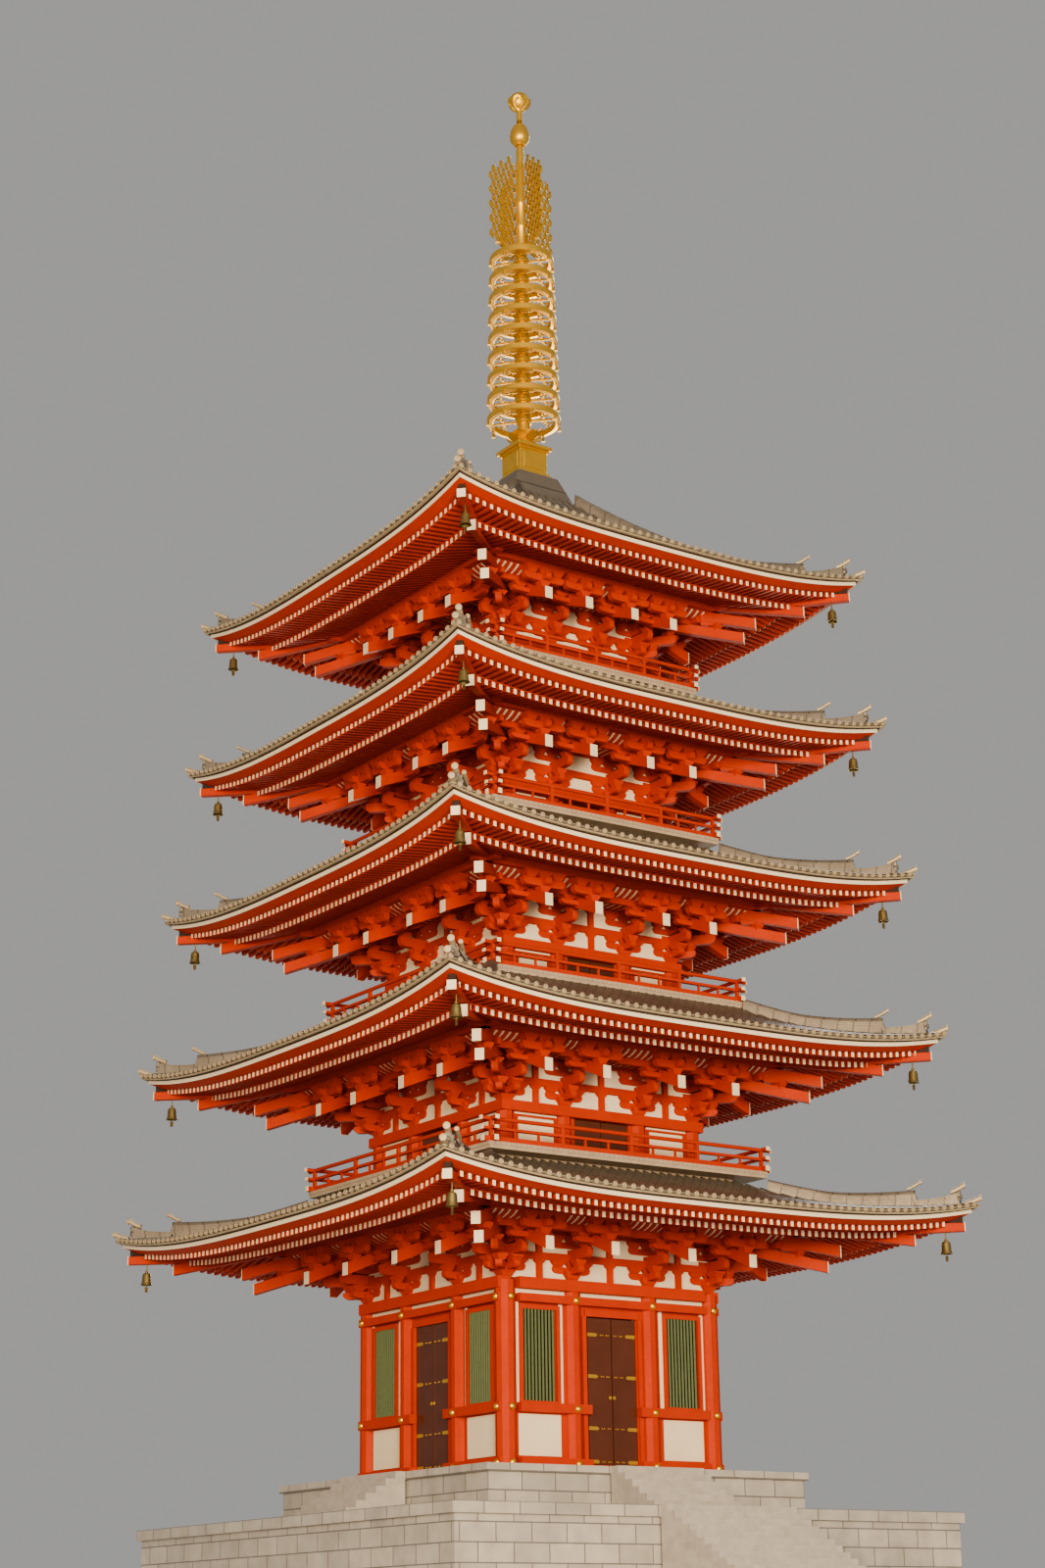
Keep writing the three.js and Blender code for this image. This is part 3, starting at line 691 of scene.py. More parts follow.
class PaintShop:
    """Makes the materials. Shared effects are node groups with named inputs."""

    FINE = 9.0
    FINE_DETAIL = 8.0
    DARKER = (0.62, 0.6, 0.58, 1)
    DUST_COLOR = (0.42, 0.37, 0.31, 1)
    BUMP_DISTANCE = 0.01
    COURSE = 0.17
    COURSE_EDGE = 0.93
    COURSE_COLOR = (0.1, 0.085, 0.07, 1)
    COURSE_DISTANCE = 0.012
    STONE_COLOR = (0.36, 0.34, 0.31)
    JOINT_COLOR = (0.16, 0.15, 0.14)
    JOINT = 0.008
    STONE_SIZE = (0.55, 0.25)

    def __init__(self) -> None:
        """Builds the groups, then each material."""
        self.ageing = self._ageing_group()
        self.courses = self._courses_group()
        for paint, finish in FINISHES.items():
            self._plain(paint, finish)
        self._tiles()
        self._stone()

    @staticmethod
    def _group(name: str, inputs: Sequence[tuple[str, str, object]],
               outputs: Sequence[tuple[str, str]]) -> tuple:
        """A node group that is empty so far.

        Args:
            name: Its name.
            inputs: Name, kind and first value of each input.
            outputs: Name and kind of each output.

        Returns:
            The group, what it is given, and its results.
        """
        tree = bpy.data.node_groups.new(name, "ShaderNodeTree")
        for label, kind, value in inputs:
            socket = tree.interface.new_socket(label, in_out="INPUT", socket_type=kind)
            socket.default_value = value
        for label, kind in outputs:
            tree.interface.new_socket(label, in_out="OUTPUT", socket_type=kind)
        return tree, tree.nodes.new("NodeGroupInput").outputs, tree.nodes.new("NodeGroupOutput").inputs

    @staticmethod
    def _feed(tree: Tree, socket: bpy.types.NodeSocket, value: object) -> None:
        """Links a socket to another node's output, or sets its value.

        Args:
            tree: The node tree.
            socket: The socket.
            value: The output or the value.
        """
        if isinstance(value, bpy.types.NodeSocket):
            tree.links.new(value, socket)
        else:
            socket.default_value = value

    def _math(self, tree: Tree, operation: str, a: object, b: object = 0.0, c: object = 0.0) -> object:
        """A maths node.

        Args:
            tree: The node tree.
            operation: What it works out.
            a, b, c: Its inputs, each a number or another node's output.

        Returns:
            Its output.
        """
        node = tree.nodes.new("ShaderNodeMath")
        node.operation = operation
        for socket, value in zip(node.inputs, (a, b, c)):
            self._feed(tree, socket, value)
        return node.outputs[0]

    def _mix(self, tree: Tree, share: object, a: object, b: object, blend: str = "MIX") -> object:
        """A colour mix.

        Args:
            tree: The node tree.
            share: The share of the second colour, a number or another node's output.
            a, b: Both colours, each a colour or another node's output.
            blend: How they blend.

        Returns:
            Its output.
        """
        node = tree.nodes.new("ShaderNodeMix")
        node.data_type = "RGBA"
        node.blend_type = blend
        for socket, value in zip((node.inputs[0], node.inputs[6], node.inputs[7]), (share, a, b)):
            self._feed(tree, socket, value)
        return node.outputs[2]

    def _noise(self, tree: Tree, place: object, scale: object, detail: float = 6.0) -> object:
        """A noise pattern.

        Args:
            tree: The node tree.
            place: The output that gives the place.
            scale: Its scale, a number or another node's output.
            detail: How many finer patterns it holds.

        Returns:
            The output of its value.
        """
        node = tree.nodes.new("ShaderNodeTexNoise")
        node.inputs["Detail"].default_value = detail
        tree.links.new(place, node.inputs["Vector"])
        self._feed(tree, node.inputs["Scale"], scale)
        return node.outputs["Fac"]

    @staticmethod
    def _axes(tree: Tree, coordinate: str = "Object") -> bpy.types.NodeOutputs:
        """A texture coordinate, split into X, Y and Z."""
        split = tree.nodes.new("ShaderNodeSeparateXYZ")
        tree.links.new(tree.nodes.new("ShaderNodeTexCoord").outputs[coordinate], split.inputs[0])
        return split.outputs

    def _ageing_group(self) -> Tree:
        """Patches of lighter and darker colour, dust on what faces up, and fine bump."""
        tree, given, result = self._group("ageing", [
            ("Color", "NodeSocketColor", (0.5, 0.5, 0.5, 1)),
            ("Scale", "NodeSocketFloat", 3.0),
            ("Patches", "NodeSocketFloat", 0.2),
            ("Dust", "NodeSocketFloat", 0.2),
            ("Roughness", "NodeSocketFloat", 0.5),
        ], [("Color", "NodeSocketColor"), ("Roughness", "NodeSocketFloat"), ("Height", "NodeSocketFloat")])
        place = tree.nodes.new("ShaderNodeTexCoord").outputs["Object"]
        broad = self._noise(tree, place, given["Scale"])
        fine_scale = self._math(tree, "MULTIPLY", given["Scale"], self.FINE)
        fine = self._noise(tree, place, fine_scale, self.FINE_DETAIL)
        swing = self._math(tree, "SUBTRACT", broad, 0.5)
        strength = self._math(tree, "MULTIPLY", given["Patches"], 3.0)
        share = self._math(tree, "MULTIPLY_ADD", swing, strength, 0.5)
        dark = self._mix(tree, 1.0, given["Color"], self.DARKER, "MULTIPLY")
        light = self._mix(tree, 0.5, given["Color"], (1, 1, 1, 1), "SOFT_LIGHT")
        patchy = self._mix(tree, share, dark, light)
        upward = self._math(tree, "MAXIMUM", self._axes(tree, "Normal")["Z"], 0.0)
        dust = self._math(tree, "MULTIPLY", upward, given["Dust"])
        dusty = self._mix(tree, self._math(tree, "MULTIPLY", dust, fine), patchy, self.DUST_COLOR)
        tree.links.new(dusty, result["Color"])
        ripple = self._math(tree, "SUBTRACT", fine, 0.5)
        rough = self._math(tree, "MULTIPLY_ADD", ripple, 0.25, given["Roughness"])
        tree.links.new(rough, result["Roughness"])
        tree.links.new(fine, result["Height"])
        return tree

    def _courses_group(self) -> Tree:
        """Lines across the slope of a roof, one at each tile's lower edge."""
        tree, given, result = self._group("tile_courses", [("Length", "NodeSocketFloat", 0.16)],
                                          [("Line", "NodeSocketFloat"), ("Step", "NodeSocketFloat")])
        place = self._axes(tree)
        reach = self._math(tree, "MAXIMUM", self._math(tree, "ABSOLUTE", place["X"]),
                           self._math(tree, "ABSOLUTE", place["Y"]))
        run = self._math(tree, "FRACT", self._math(tree, "DIVIDE", reach, given["Length"]))
        tree.links.new(run, result["Step"])
        tree.links.new(self._math(tree, "GREATER_THAN", run, self.COURSE_EDGE), result["Line"])
        return tree

    @staticmethod
    def _start(paint: Paint, finish: Finish) -> tuple:
        """Makes a material.

        Args:
            paint: Its name.
            finish: Its finish.

        Returns:
            Its node tree and its shader.
        """
        material = bpy.data.materials.new(paint.value)
        material.use_nodes = True
        tree = material.node_tree
        shader = tree.nodes["Principled BSDF"]
        shader.inputs["Roughness"].default_value = finish.roughness
        shader.inputs["Metallic"].default_value = finish.metallic
        return tree, shader

    def _aged(self, tree: Tree, color: object, finish: Finish) -> bpy.types.NodeOutputs:
        """Places the ageing group with its own values.

        Args:
            tree: The material's node tree.
            color: The colour before ageing, or the output that gives it.
            finish: The finish.

        Returns:
            The group's outputs.
        """
        aged = tree.nodes.new("ShaderNodeGroup")
        aged.node_tree = self.ageing
        values = {"Color": color, "Scale": finish.scale, "Patches": finish.patches, "Dust": finish.dust,
                  "Roughness": finish.roughness}
        for label, value in values.items():
            self._feed(tree, aged.inputs[label], value)
        return aged.outputs

    @staticmethod
    def _dress(tree: Tree, shader: bpy.types.Node, color: object, roughness: object, height: object,
               strength: float, distance: float) -> None:
        """Feeds a shader.

        Args:
            tree: The material's node tree.
            shader: Its Principled shader.
            color, roughness, height: The outputs that give them.
            strength, distance: Those of the bump.
        """
        bump = tree.nodes.new("ShaderNodeBump")
        bump.inputs["Strength"].default_value = strength
        bump.inputs["Distance"].default_value = distance
        tree.links.new(height, bump.inputs["Height"])
        tree.links.new(bump.outputs["Normal"], shader.inputs["Normal"])
        tree.links.new(color, shader.inputs["Base Color"])
        tree.links.new(roughness, shader.inputs["Roughness"])

    def _plain(self, paint: Paint, finish: Finish) -> None:
        """A painted or cast surface with its ageing.

        Args:
            paint: The material's name.
            finish: Its finish.
        """
        tree, shader = self._start(paint, finish)
        aged = self._aged(tree, (*finish.color, 1), finish)
        self._dress(tree, shader, aged["Color"], aged["Roughness"], aged["Height"], finish.bump,
                    self.BUMP_DISTANCE)

    def _tiles(self) -> None:
        """Weathered metal tiles with a joint at each course."""
        tree, shader = self._start(Paint.TILE, TILE_FINISH)
        courses = tree.nodes.new("ShaderNodeGroup")
        courses.node_tree = self.courses
        courses.inputs["Length"].default_value = self.COURSE
        aged = self._aged(tree, (*TILE_FINISH.color, 1), TILE_FINISH)
        dark = self._mix(tree, courses.outputs["Line"], aged["Color"], self.COURSE_COLOR)
        self._dress(tree, shader, dark, aged["Roughness"], courses.outputs["Step"], TILE_FINISH.bump,
                    self.COURSE_DISTANCE)

    def _stone(self) -> None:
        """Granite blocks in courses, with fine joints."""
        tree, shader = self._start(Paint.STONE, STONE_FINISH)
        place = self._axes(tree)
        wall = tree.nodes.new("ShaderNodeCombineXYZ")
        tree.links.new(self._math(tree, "ADD", place["X"], place["Y"]), wall.inputs["X"])
        tree.links.new(place["Z"], wall.inputs["Y"])
        brick = tree.nodes.new("ShaderNodeTexBrick")
        tree.links.new(wall.outputs[0], brick.inputs["Vector"])
        values = {"Color1": (*STONE_FINISH.color, 1), "Color2": (*self.STONE_COLOR, 1),
                  "Mortar": (*self.JOINT_COLOR, 1), "Scale": 1.0, "Mortar Size": self.JOINT,
                  "Brick Width": self.STONE_SIZE[0], "Row Height": self.STONE_SIZE[1]}
        for label, value in values.items():
            brick.inputs[label].default_value = value
        aged = self._aged(tree, brick.outputs["Color"], STONE_FINISH)
        grain = self._math(tree, "MULTIPLY", aged["Height"], 0.25)
        joint = self._math(tree, "MULTIPLY_ADD", brick.outputs["Fac"], -1.0, grain)
        self._dress(tree, shader, aged["Color"], aged["Roughness"], joint, STONE_FINISH.bump,
                    self.BUMP_DISTANCE)


@dataclass
class Eaves:
    """Two rows of rafters under a storey's fascia, with hip rafters and bells.

    upper_z is the upper rafters' underside at their outer ends, from the fascia's top. plate is
    the thickness of the white ends. overlap is how far the upper rafters start behind the ends
    of the lower ones, and lap the same of the boards on them. The outlines below are measured
    out from the fascia and up from its top. BETWEEN is the span of the board between the rows,
    from the lower rafters' ends. A hip rafter has its underside and top at both its ends, and
    reaches hip_past out from the lower rafters' ends or hip_inset in from the fascia. The
    hollow's depth and width are those of hollow_size. HOOK and TONGUE have a radius and a span.
    """

    storey: Storey
    pitch: float = 0.253
    lower_size: Size = (0.106, 0.158)
    upper_size: Size = (0.1, 0.142)
    upper_z: float = -0.371
    upper_slope: float = 0.13
    overlap: float = 0.35
    board: float = 0.04
    plate: float = 0.012
    lap: float = 0.3
    hip: float = 0.236
    hip_past: float = 0.25
    hip_inset: float = 0.16
    # The hollow is filled with a near-black plate: painted shade.
    hollow_inset: float = 0.2
    hollow_size: Size = (0.3, 0.2)
    vane: float = 0.012
    bell_inset: float = 0.57
    bell_drop: float = 0.62

    FASCIA = ((-0.52, -0.235), (-0.3, -0.225), (-0.02, -0.12), (-0.02, -0.03), (-0.52, -0.03))
    WHITE_EDGE = oblong((-0.028, 0), (-0.125, 0))
    BETWEEN = (-0.16, 0.03)
    HIP_LOWER = ((-0.12, 0.2), (-0.72, -0.41))
    HIP_UPPER = ((-0.37, -0.05), (-0.625, -0.385))
    HOLLOW_Z = (-0.4, -0.17)
    HOOK = (0.018, (-0.18, 0.36))
    TONGUE = (0.012, (-0.62, -0.2))
    BELL = ((0, -0.17), (0.06, -0.175), (0.115, -0.2), (0.135, -0.27), (0.145, -0.45), (0.18, -0.55),
            (0.158, -0.55), (0.125, -0.45), (0.115, -0.27), (0.08, -0.21), (0, -0.195))
    EYE = ((0, -0.18), (0.05, -0.17), (0.045, -0.11), (0, -0.09))
    VANE = twofold(((0.045, -0.77), (0.055, -0.62), (0, -0.59)))

    def _under(self, reach: float) -> float:
        """Underside of the upper rafters at that distance from the centre line."""
        s = self.storey
        return s.eave_z + self.upper_z + self.upper_slope * (s.upper - reach)

    def _row(self, reach: Span, z: Span, size: Size, paint: Paint) -> Piece:
        """A row of rafters across the front.

        Args:
            reach: Distances from the centre line at the inner and the outer end.
            z: Undersides at those ends.
            size: Width and height of a rafter.
            paint: Their finish.

        Returns:
            The row, mitred at the hips.
        """
        width, height = size
        rafter = Bench.plate(slant(reach, z, height), width, paint)
        return Bench.mitre(Bench.centred_row(rafter, 2 * int(reach[1] / self.pitch), self.pitch))

    def _timber(self) -> list[Piece]:
        """Both rows of rafters, the board between them and the fascia."""
        s = self.storey
        behind = s.lower - self.overlap
        foot, knee = s.rafter_z(s.wall), s.rafter_z(s.lower)
        inner, outer = self.BETWEEN
        between = oblong((s.lower + inner, s.lower + outer),
                         (knee + self.lower_size[1], self._under(s.lower)))
        return [
            self._row((s.wall, s.lower), (foot, knee), self.lower_size, Paint.VERMILION),
            self._row((behind, s.upper), (self._under(behind), self._under(s.upper)), self.upper_size,
                      Paint.VERMILION),
            Bench.strip(between, Paint.VERMILION),
            Bench.strip(shift(self.FASCIA, s.eave, s.eave_z), Paint.VERMILION),
        ]

    def _boards(self) -> list[Piece]:
        """The boards that lie on both rows of rafters, in a darker red: painted shade between the rafters.
        """
        s = self.storey
        behind = s.lower - self.lap
        low, high = self.lower_size[1], self.upper_size[1]
        lower = slant((s.wall, s.lower - 0.02), (s.rafter_z(s.wall) + low, s.rafter_z(s.lower) + low),
                      self.board)
        upper = slant((behind, s.upper), (self._under(behind) + high, self._under(s.upper) + high),
                      self.board)
        return [Bench.strip(lower, Paint.SHADE), Bench.strip(upper, Paint.SHADE)]

    def _white(self) -> list[Piece]:
        """The rafters' white ends and the fascia's white edge."""
        s = self.storey
        knee, tip = s.rafter_z(s.lower), self._under(s.upper)
        return [
            self._row((s.lower, s.lower + self.plate), (knee, knee), self.lower_size, Paint.WHITE),
            self._row((s.upper, s.upper + self.plate), (tip, tip), self.upper_size, Paint.WHITE),
            Bench.strip(shift(self.WHITE_EDGE, s.eave, s.eave_z), Paint.WHITE),
        ]

    def _hip(self) -> tuple[list[Piece], list[Piece]]:
        """The hip rafters in two tiers at the near corner, and their white noses."""
        s = self.storey
        tip = s.eave - self.hip_inset
        foot, knee, nose = s.rafter_z(s.purlin), s.corner_z(s.lower), s.corner_z(tip)
        red, white = [], []
        rim = self.plate
        for start, end, (inner, outer), (near, far) in (
                (s.purlin, s.lower + self.hip_past, (foot, knee), self.HIP_LOWER),
                (s.lower - self.lap, tip, (knee, nose), self.HIP_UPPER)):
            u, z0, z1 = end * ROOT2, outer + far[0], outer + far[1]
            outline = [(start * ROOT2, inner + near[0]), (u, z0), (u, z1), (start * ROOT2, inner + near[1])]
            red.append(Bench.bevel(Bench.plate(outline, self.hip, Paint.VERMILION, out=CORNER), rim))
            cap = oblong((u - rim, u + rim), (z0 - rim, z1 + rim))
            white.append(Bench.plate(cap, self.hip + 2 * rim, Paint.WHITE, out=CORNER))
        return red, white

    def _recess(self) -> Piece:
        """A near-black plate in the hollow over the upper hip rafter's nose: painted shade."""
        tip = self.storey.eave - self.hollow_inset
        top = self.storey.corner_z(tip)
        deep, wide = self.hollow_size
        low, high = self.HOLLOW_Z
        hollow = oblong(((tip - deep) * ROOT2, tip * ROOT2), (top + low, top + high))
        return Bench.plate(hollow, wide, Paint.DARK, out=CORNER)

    def _bell(self) -> Piece:
        """The near corner's wind bell, with its long hook, clapper and small wind plate."""
        bell = Bench.smooth(Bench.spin(self.BELL, Paint.PATINA, 20))
        hook = Bench.round_bar(*self.HOOK, Paint.PATINA, 8)
        eye = Bench.spin(self.EYE, Paint.PATINA, 12)
        tongue = Bench.round_bar(*self.TONGUE, Paint.PATINA, 6)
        vane = Bench.plate(self.VANE, self.vane, Paint.PATINA)
        reach = self.storey.eave - self.bell_inset
        hang = self.storey.corner_z(reach) - self.bell_drop
        return Bench.move(Bench.join([bell, hook, eye, tongue, vane]), -reach, -reach, hang)

    def build(self) -> None:
        """Builds the timber, the white ends and the bells of one storey's eaves."""
        bend = turned_up(self.storey.lift_share)
        timber, boards, white = self._timber(), self._boards(), self._white()
        hip_red, hip_white = self._hip()
        reds = Bench.join([Bench.warp(part, bend) for part in timber] + hip_red)
        whites = Bench.join([Bench.warp(part, bend) for part in white] + hip_white)
        shades = Bench.join([Bench.warp(part, bend) for part in boards])
        node = f"storey_{self.storey.number}_eaves"
        Bench.keep_round(reds, f"{node}_timber", Paint.VERMILION, node)
        Bench.keep_round(shades, f"{node}_boards", Paint.SHADE, node)
        Bench.keep_round(self._recess(), f"{node}_hollow_shade", Paint.DARK, node)
        Bench.keep_round(whites, f"{node}_white_ends", Paint.WHITE, node)
        Bench.keep_round(self._bell(), f"storey_{self.storey.number}_bells", Paint.PATINA, node)


@dataclass
class Roof:
    """A storey's tiled roof: rows of round tiles over pans, the eave's tile ends and the hip ridges.

    inner is the half width at which the tiles end, ridge_from the one at which the ridges begin.
    crown is the half width and top of the square base on the topmost roof. A ridge has a high
    stage and a low one, which end at split and at outer in from the fascia, and rise is how much
    their ends turn up. A strip of the edge has its distance out from the fascia, its foot and
    its top from the fascia's top, and its finish. RIDGE_FOOT is one side of a ridge's section from
    the tiles up, and RIDGE_CAP that of its cap, from its height. A horn's radius is HORN_WIDTH at
    its inner end and more by HORN_GAIN at its outer one. NOSE_REACH and NOSE_Z are the spans of
    the horn at the corner, from the fascia and from the corner's top.
    """

    storey: Storey
    inner: float
    ridge_from: float
    crown: Size | None = None
    pitch: float = 0.306
    round_tile: float = 0.07
    slope_steps: int = 9
    sheet: float = 0.03
    low_stage: float = 0.18
    high_stage: float = 0.34
    rise: float = 0.16
    split: float = 1.14
    outer: float = 0.24
    lap: float = 0.05
    pan_depth: float = 0.025
    flank: float = 0.1
    past: float = 0.03
    strip: float = 0.1
    shield: float = 0.1
    small_stop: float = 0.7
    horn: float = 0.1

    SHIELD = twofold(((0.19, 0), (0.22, 0.1), (0.17, 0.17), (0.2, 0.3), (0.12, 0.27), (0.07, 0.36)))
    BOSS = ((0, 0), (0.08, 0), (0.074, 0.025), (0.04, 0.045), (0, 0.05))
    BOSS_PLACE = CORNER * 0.05 + UP * 0.17
    RIDGE_FOOT = ((0.19, -0.14), (0.19, 0.1), (0.16, 0.1), (0.16, 0.16), (0.175, 0.16), (0.175, 0.19),
                  (0.145, 0.19))
    RIDGE_CAP = ((0.145, -0.12), (0.165, -0.12), (0.165, -0.09), (0.1, -0.09), (0.09, -0.03),
                 (0.05, 0.01))
    HORN_REACH = (-0.3, 0.1)
    HORN_Z = (0.02, 0.24)
    HORN_WIDTH = 0.8
    HORN_GAIN = 0.1
    HORN_CURVE = 1.8
    NOSE_REACH = (-0.3, 0.19)
    NOSE_Z = (0.12, 0.3)
    STOP_FOOT = 0.08
    CROWN_TAPER = 0.34
    # The near-black strips are painted shade in the gaps between the tile band, its foot and the white edge.
    STRIPS = (
        (0.175, 0.09, 0.15, Paint.TILE_END),
        (0.15, 0.07, 0.1, Paint.DARK),
        (0.16, 0.03, 0.075, Paint.TILE_END),
        (0.06, 0.0, 0.035, Paint.DARK),
    )

    @property
    def columns(self) -> int:
        """Number of rows of round tiles on a side."""
        return 2 * int(self.storey.edge / self.pitch) + 1

    def _sheet(self) -> Piece:
        """Pans and round tiles over the front, on the roof's curve."""
        s = self.storey
        r = self.round_tile
        side = [(self.pitch / 2, -self.pan_depth), (self.flank, 0.0), (r, 0.0), (0.75 * r, 0.75 * r)]
        section = np.array([(-u, z) for u, z in side] + [(0, r)] + side[::-1])
        last = len(section) - 1
        outer = s.edge + self.past
        bpy.ops.mesh.primitive_grid_add(x_subdivisions=last, y_subdivisions=self.slope_steps, size=2)
        sheet = bpy.context.object

        def shape(places: np.ndarray) -> np.ndarray:
            """Lays a flat grid as a section along the roof's curve."""
            column = np.rint((places[:, 0] + 1) / 2 * last).astype(int)
            reach = outer - (places[:, 1] + 1) / 2 * (outer - self.inner)
            across = section[column]
            return np.stack([across[:, 0], -reach, s.tile_z(reach) + across[:, 1]], axis=1)

        Bench.warp(sheet, shape)
        Bench.coat(sheet, Paint.TILE)
        Bench.centred_row(sheet, self.columns, self.pitch, merge=True)
        Bench.mitre(sheet, closed=False)
        Bench.finish(sheet, "SOLIDIFY", thickness=self.sheet, offset=-1)
        return Bench.smooth(Bench.warp(sheet, turned_up(s.tile_lift)), 50)

    def _disc(self, radius: float) -> Piece:
        """A round tile's end, facing the front, with its rim."""
        rim, face = 0.8 * radius, 0.74 * radius
        profile = [(0, 0), (radius, 0), (radius, 0.05), (rim, 0.055), (face, 0.042), (0, 0.042)]
        return Bench.facing(profile, Paint.TILE_END, 14)

    def _ends(self) -> tuple[Piece, Piece]:
        """The round tile ends over the straight band of pan ends, and the near-black strips of painted shade
        in the gaps under them.
        """
        s = self.storey
        disc = Bench.move(self._disc(self.round_tile + 0.004), y=-s.edge, z=float(s.tile_z(s.edge)) + 0.005)
        Bench.centred_row(disc, self.columns, self.pitch)
        strips = []
        for past, low, high, paint in self.STRIPS:
            outline = oblong((s.eave - self.strip, s.eave + past), (s.eave_z + low, s.eave_z + high))
            strips.append(Bench.warp(Bench.strip(outline, paint, s.edge), turned_up(s.lift_share)))
        # joint and groove are near-black strips: painted shade in the edge's gaps.
        band, joint, foot, groove = strips
        ends = Bench.join([Bench.warp(disc, turned_up(s.tile_lift)), band, foot])
        return ends, Bench.join([joint, groove])

    def _ridge(self, reach: Span, height: float, steps: int) -> Piece:
        """One stage of the near hip's ridge: stacked courses under a round cap.

        Args:
            reach: Distances from the centre line at its inner and outer end.
            height: Its height over the tiles.
            steps: Number of steps along it.

        Returns:
            The stage.
        """
        s = self.storey
        cap = shift(self.RIDGE_CAP, 0, height)
        side = [(u, z) for u, z in (*self.RIDGE_FOOT, *cap) if z <= cap[-1][1]]
        outline = side + [(-u, z) for u, z in reversed(side)]
        bar = Bench.plate(outline, 1.0, Paint.TILE, out=ALONG, steps=steps)

        def bend(places: np.ndarray) -> np.ndarray:
            """Lays a straight bar along the hip, turned up at its end."""
            share = places[:, 1] + 0.5
            run = reach[0] + share * (reach[1] - reach[0])
            across = places[:, 0] / ROOT2
            lift = self.rise * np.clip(places[:, 2] / height, 0, 1) * share ** 2
            return np.stack([-run + across, -run - across, s.hip_z(run) + places[:, 2] + lift], axis=1)

        Bench.outward(Bench.warp(bar, bend))
        return Bench.smooth(bar, 35)

    def _horn(self, reach: Span, z: Span, radius: float) -> list[Piece]:
        """A round tile on the hip that curves up outwards and ends in a disc.

        Args:
            reach: Distances from the centre line at its inner and outer end.
            z: Heights of its middle at those ends.
            radius: Radius of its disc.

        Returns:
            The tile and its disc.
        """
        turns = np.linspace(0, 2 * math.pi, 13)[:-1]
        circle = [(radius * math.cos(turn), radius * math.sin(turn)) for turn in turns]
        horn = Bench.plate(circle, 1.0, Paint.TILE_END, out=ALONG, steps=6)

        def bend(places: np.ndarray) -> np.ndarray:
            """Lays a straight tile along the hip in its upward curve."""
            share = places[:, 1] + 0.5
            run = (reach[0] + share * (reach[1] - reach[0])) * ROOT2
            wide = self.HORN_WIDTH + self.HORN_GAIN * share
            u = places[:, 0] * wide
            height = z[0] + (z[1] - z[0]) * share ** self.HORN_CURVE + places[:, 2] * wide
            return np.stack([CORNER.x * run + ACROSS.x * u, CORNER.y * run + ACROSS.y * u, height], axis=1)

        Bench.outward(Bench.warp(horn, bend))
        Bench.smooth(horn, 40)
        disc = Bench.turn(self._disc(radius), -45)
        return [horn, Bench.move(disc, -reach[1], -reach[1], z[1])]

    def _stop(self, reach: float, height: float, size: float) -> list[Piece]:
        """The end of a ridge: a small scrolled shield, and a round tile that curves up over it.

        Args:
            reach: Distance of the end from the centre line.
            height: The ridge's height there, over the tiles.
            size: The shield's size, and that of the round tile, as a share of the largest.

        Returns:
            The shield with its boss, the round tile and its disc.
        """
        shield = Bench.bevel(Bench.plate(self.SHIELD, self.shield, Paint.TILE, out=ACROSS), 0.02, 2)
        boss = Bench.turn(Bench.spin(self.BOSS, Paint.TILE, 14), 90, ACROSS)
        Bench.move(boss, *self.BOSS_PLACE)
        base = float(self.storey.hip_z(reach))
        for piece in (shield, boss):
            piece.data.transform(Matrix.Scale(size, 4))
            Bench.move(piece, -reach, -reach, base + self.STOP_FOOT)
        span = tuple(reach + past for past in self.HORN_REACH)
        z = tuple(base + height + up for up in self.HORN_Z)
        return [shield, boss, *self._horn(span, z, self.horn * size)]

    def _crown(self) -> Piece:
        """The square base on the topmost roof, narrower upwards."""
        half, top = self.crown
        low = float(self.storey.tile_z(half)) - 0.1
        base = Bench.block((-half, half), (-half, half), (low, top), Paint.TILE)

        def narrow(places: np.ndarray) -> np.ndarray:
            """Draws places in, more with their height."""
            places[:, :2] *= 1 - self.CROWN_TAPER * (places[:, 2:] - low) / (top - low)
            return places

        return Bench.bevel(Bench.warp(base, narrow), 0.03)

    def build(self) -> None:
        """Builds the tiling and the ridges of one roof."""
        s = self.storey
        node = f"roof_{s.number}"
        ends, joint = self._ends()
        Bench.keep_round(self._sheet(), f"{node}_tiles", Paint.TILE, node)
        Bench.keep_round(ends, f"{node}_tile_ends", Paint.TILE_END, node)
        # The edge's near-black strips, painted shade in its gaps.
        Bench.keep_round(joint, f"{node}_joint", Paint.DARK, node)
        split, outer = s.eave - self.split, s.eave - self.outer
        tip = s.eave_z + LIFT
        nose = tuple(s.eave + past for past in self.NOSE_REACH)
        nose_z = tuple(tip + up for up in self.NOSE_Z)
        ridges = Bench.four_sides(Bench.join([
            self._ridge((self.ridge_from, split), self.high_stage, 12),
            self._ridge((split - self.lap, outer), self.low_stage, 6),
            *self._stop(split, self.high_stage + self.rise, self.small_stop),
            *self._stop(outer, self.low_stage + self.rise, 1.0),
            *self._horn(nose, nose_z, self.horn),
        ]))
        if self.crown:
            ridges = Bench.join([ridges, self._crown()])
        Bench.keep(ridges, f"{node}_ridges", Paint.TILE, node)


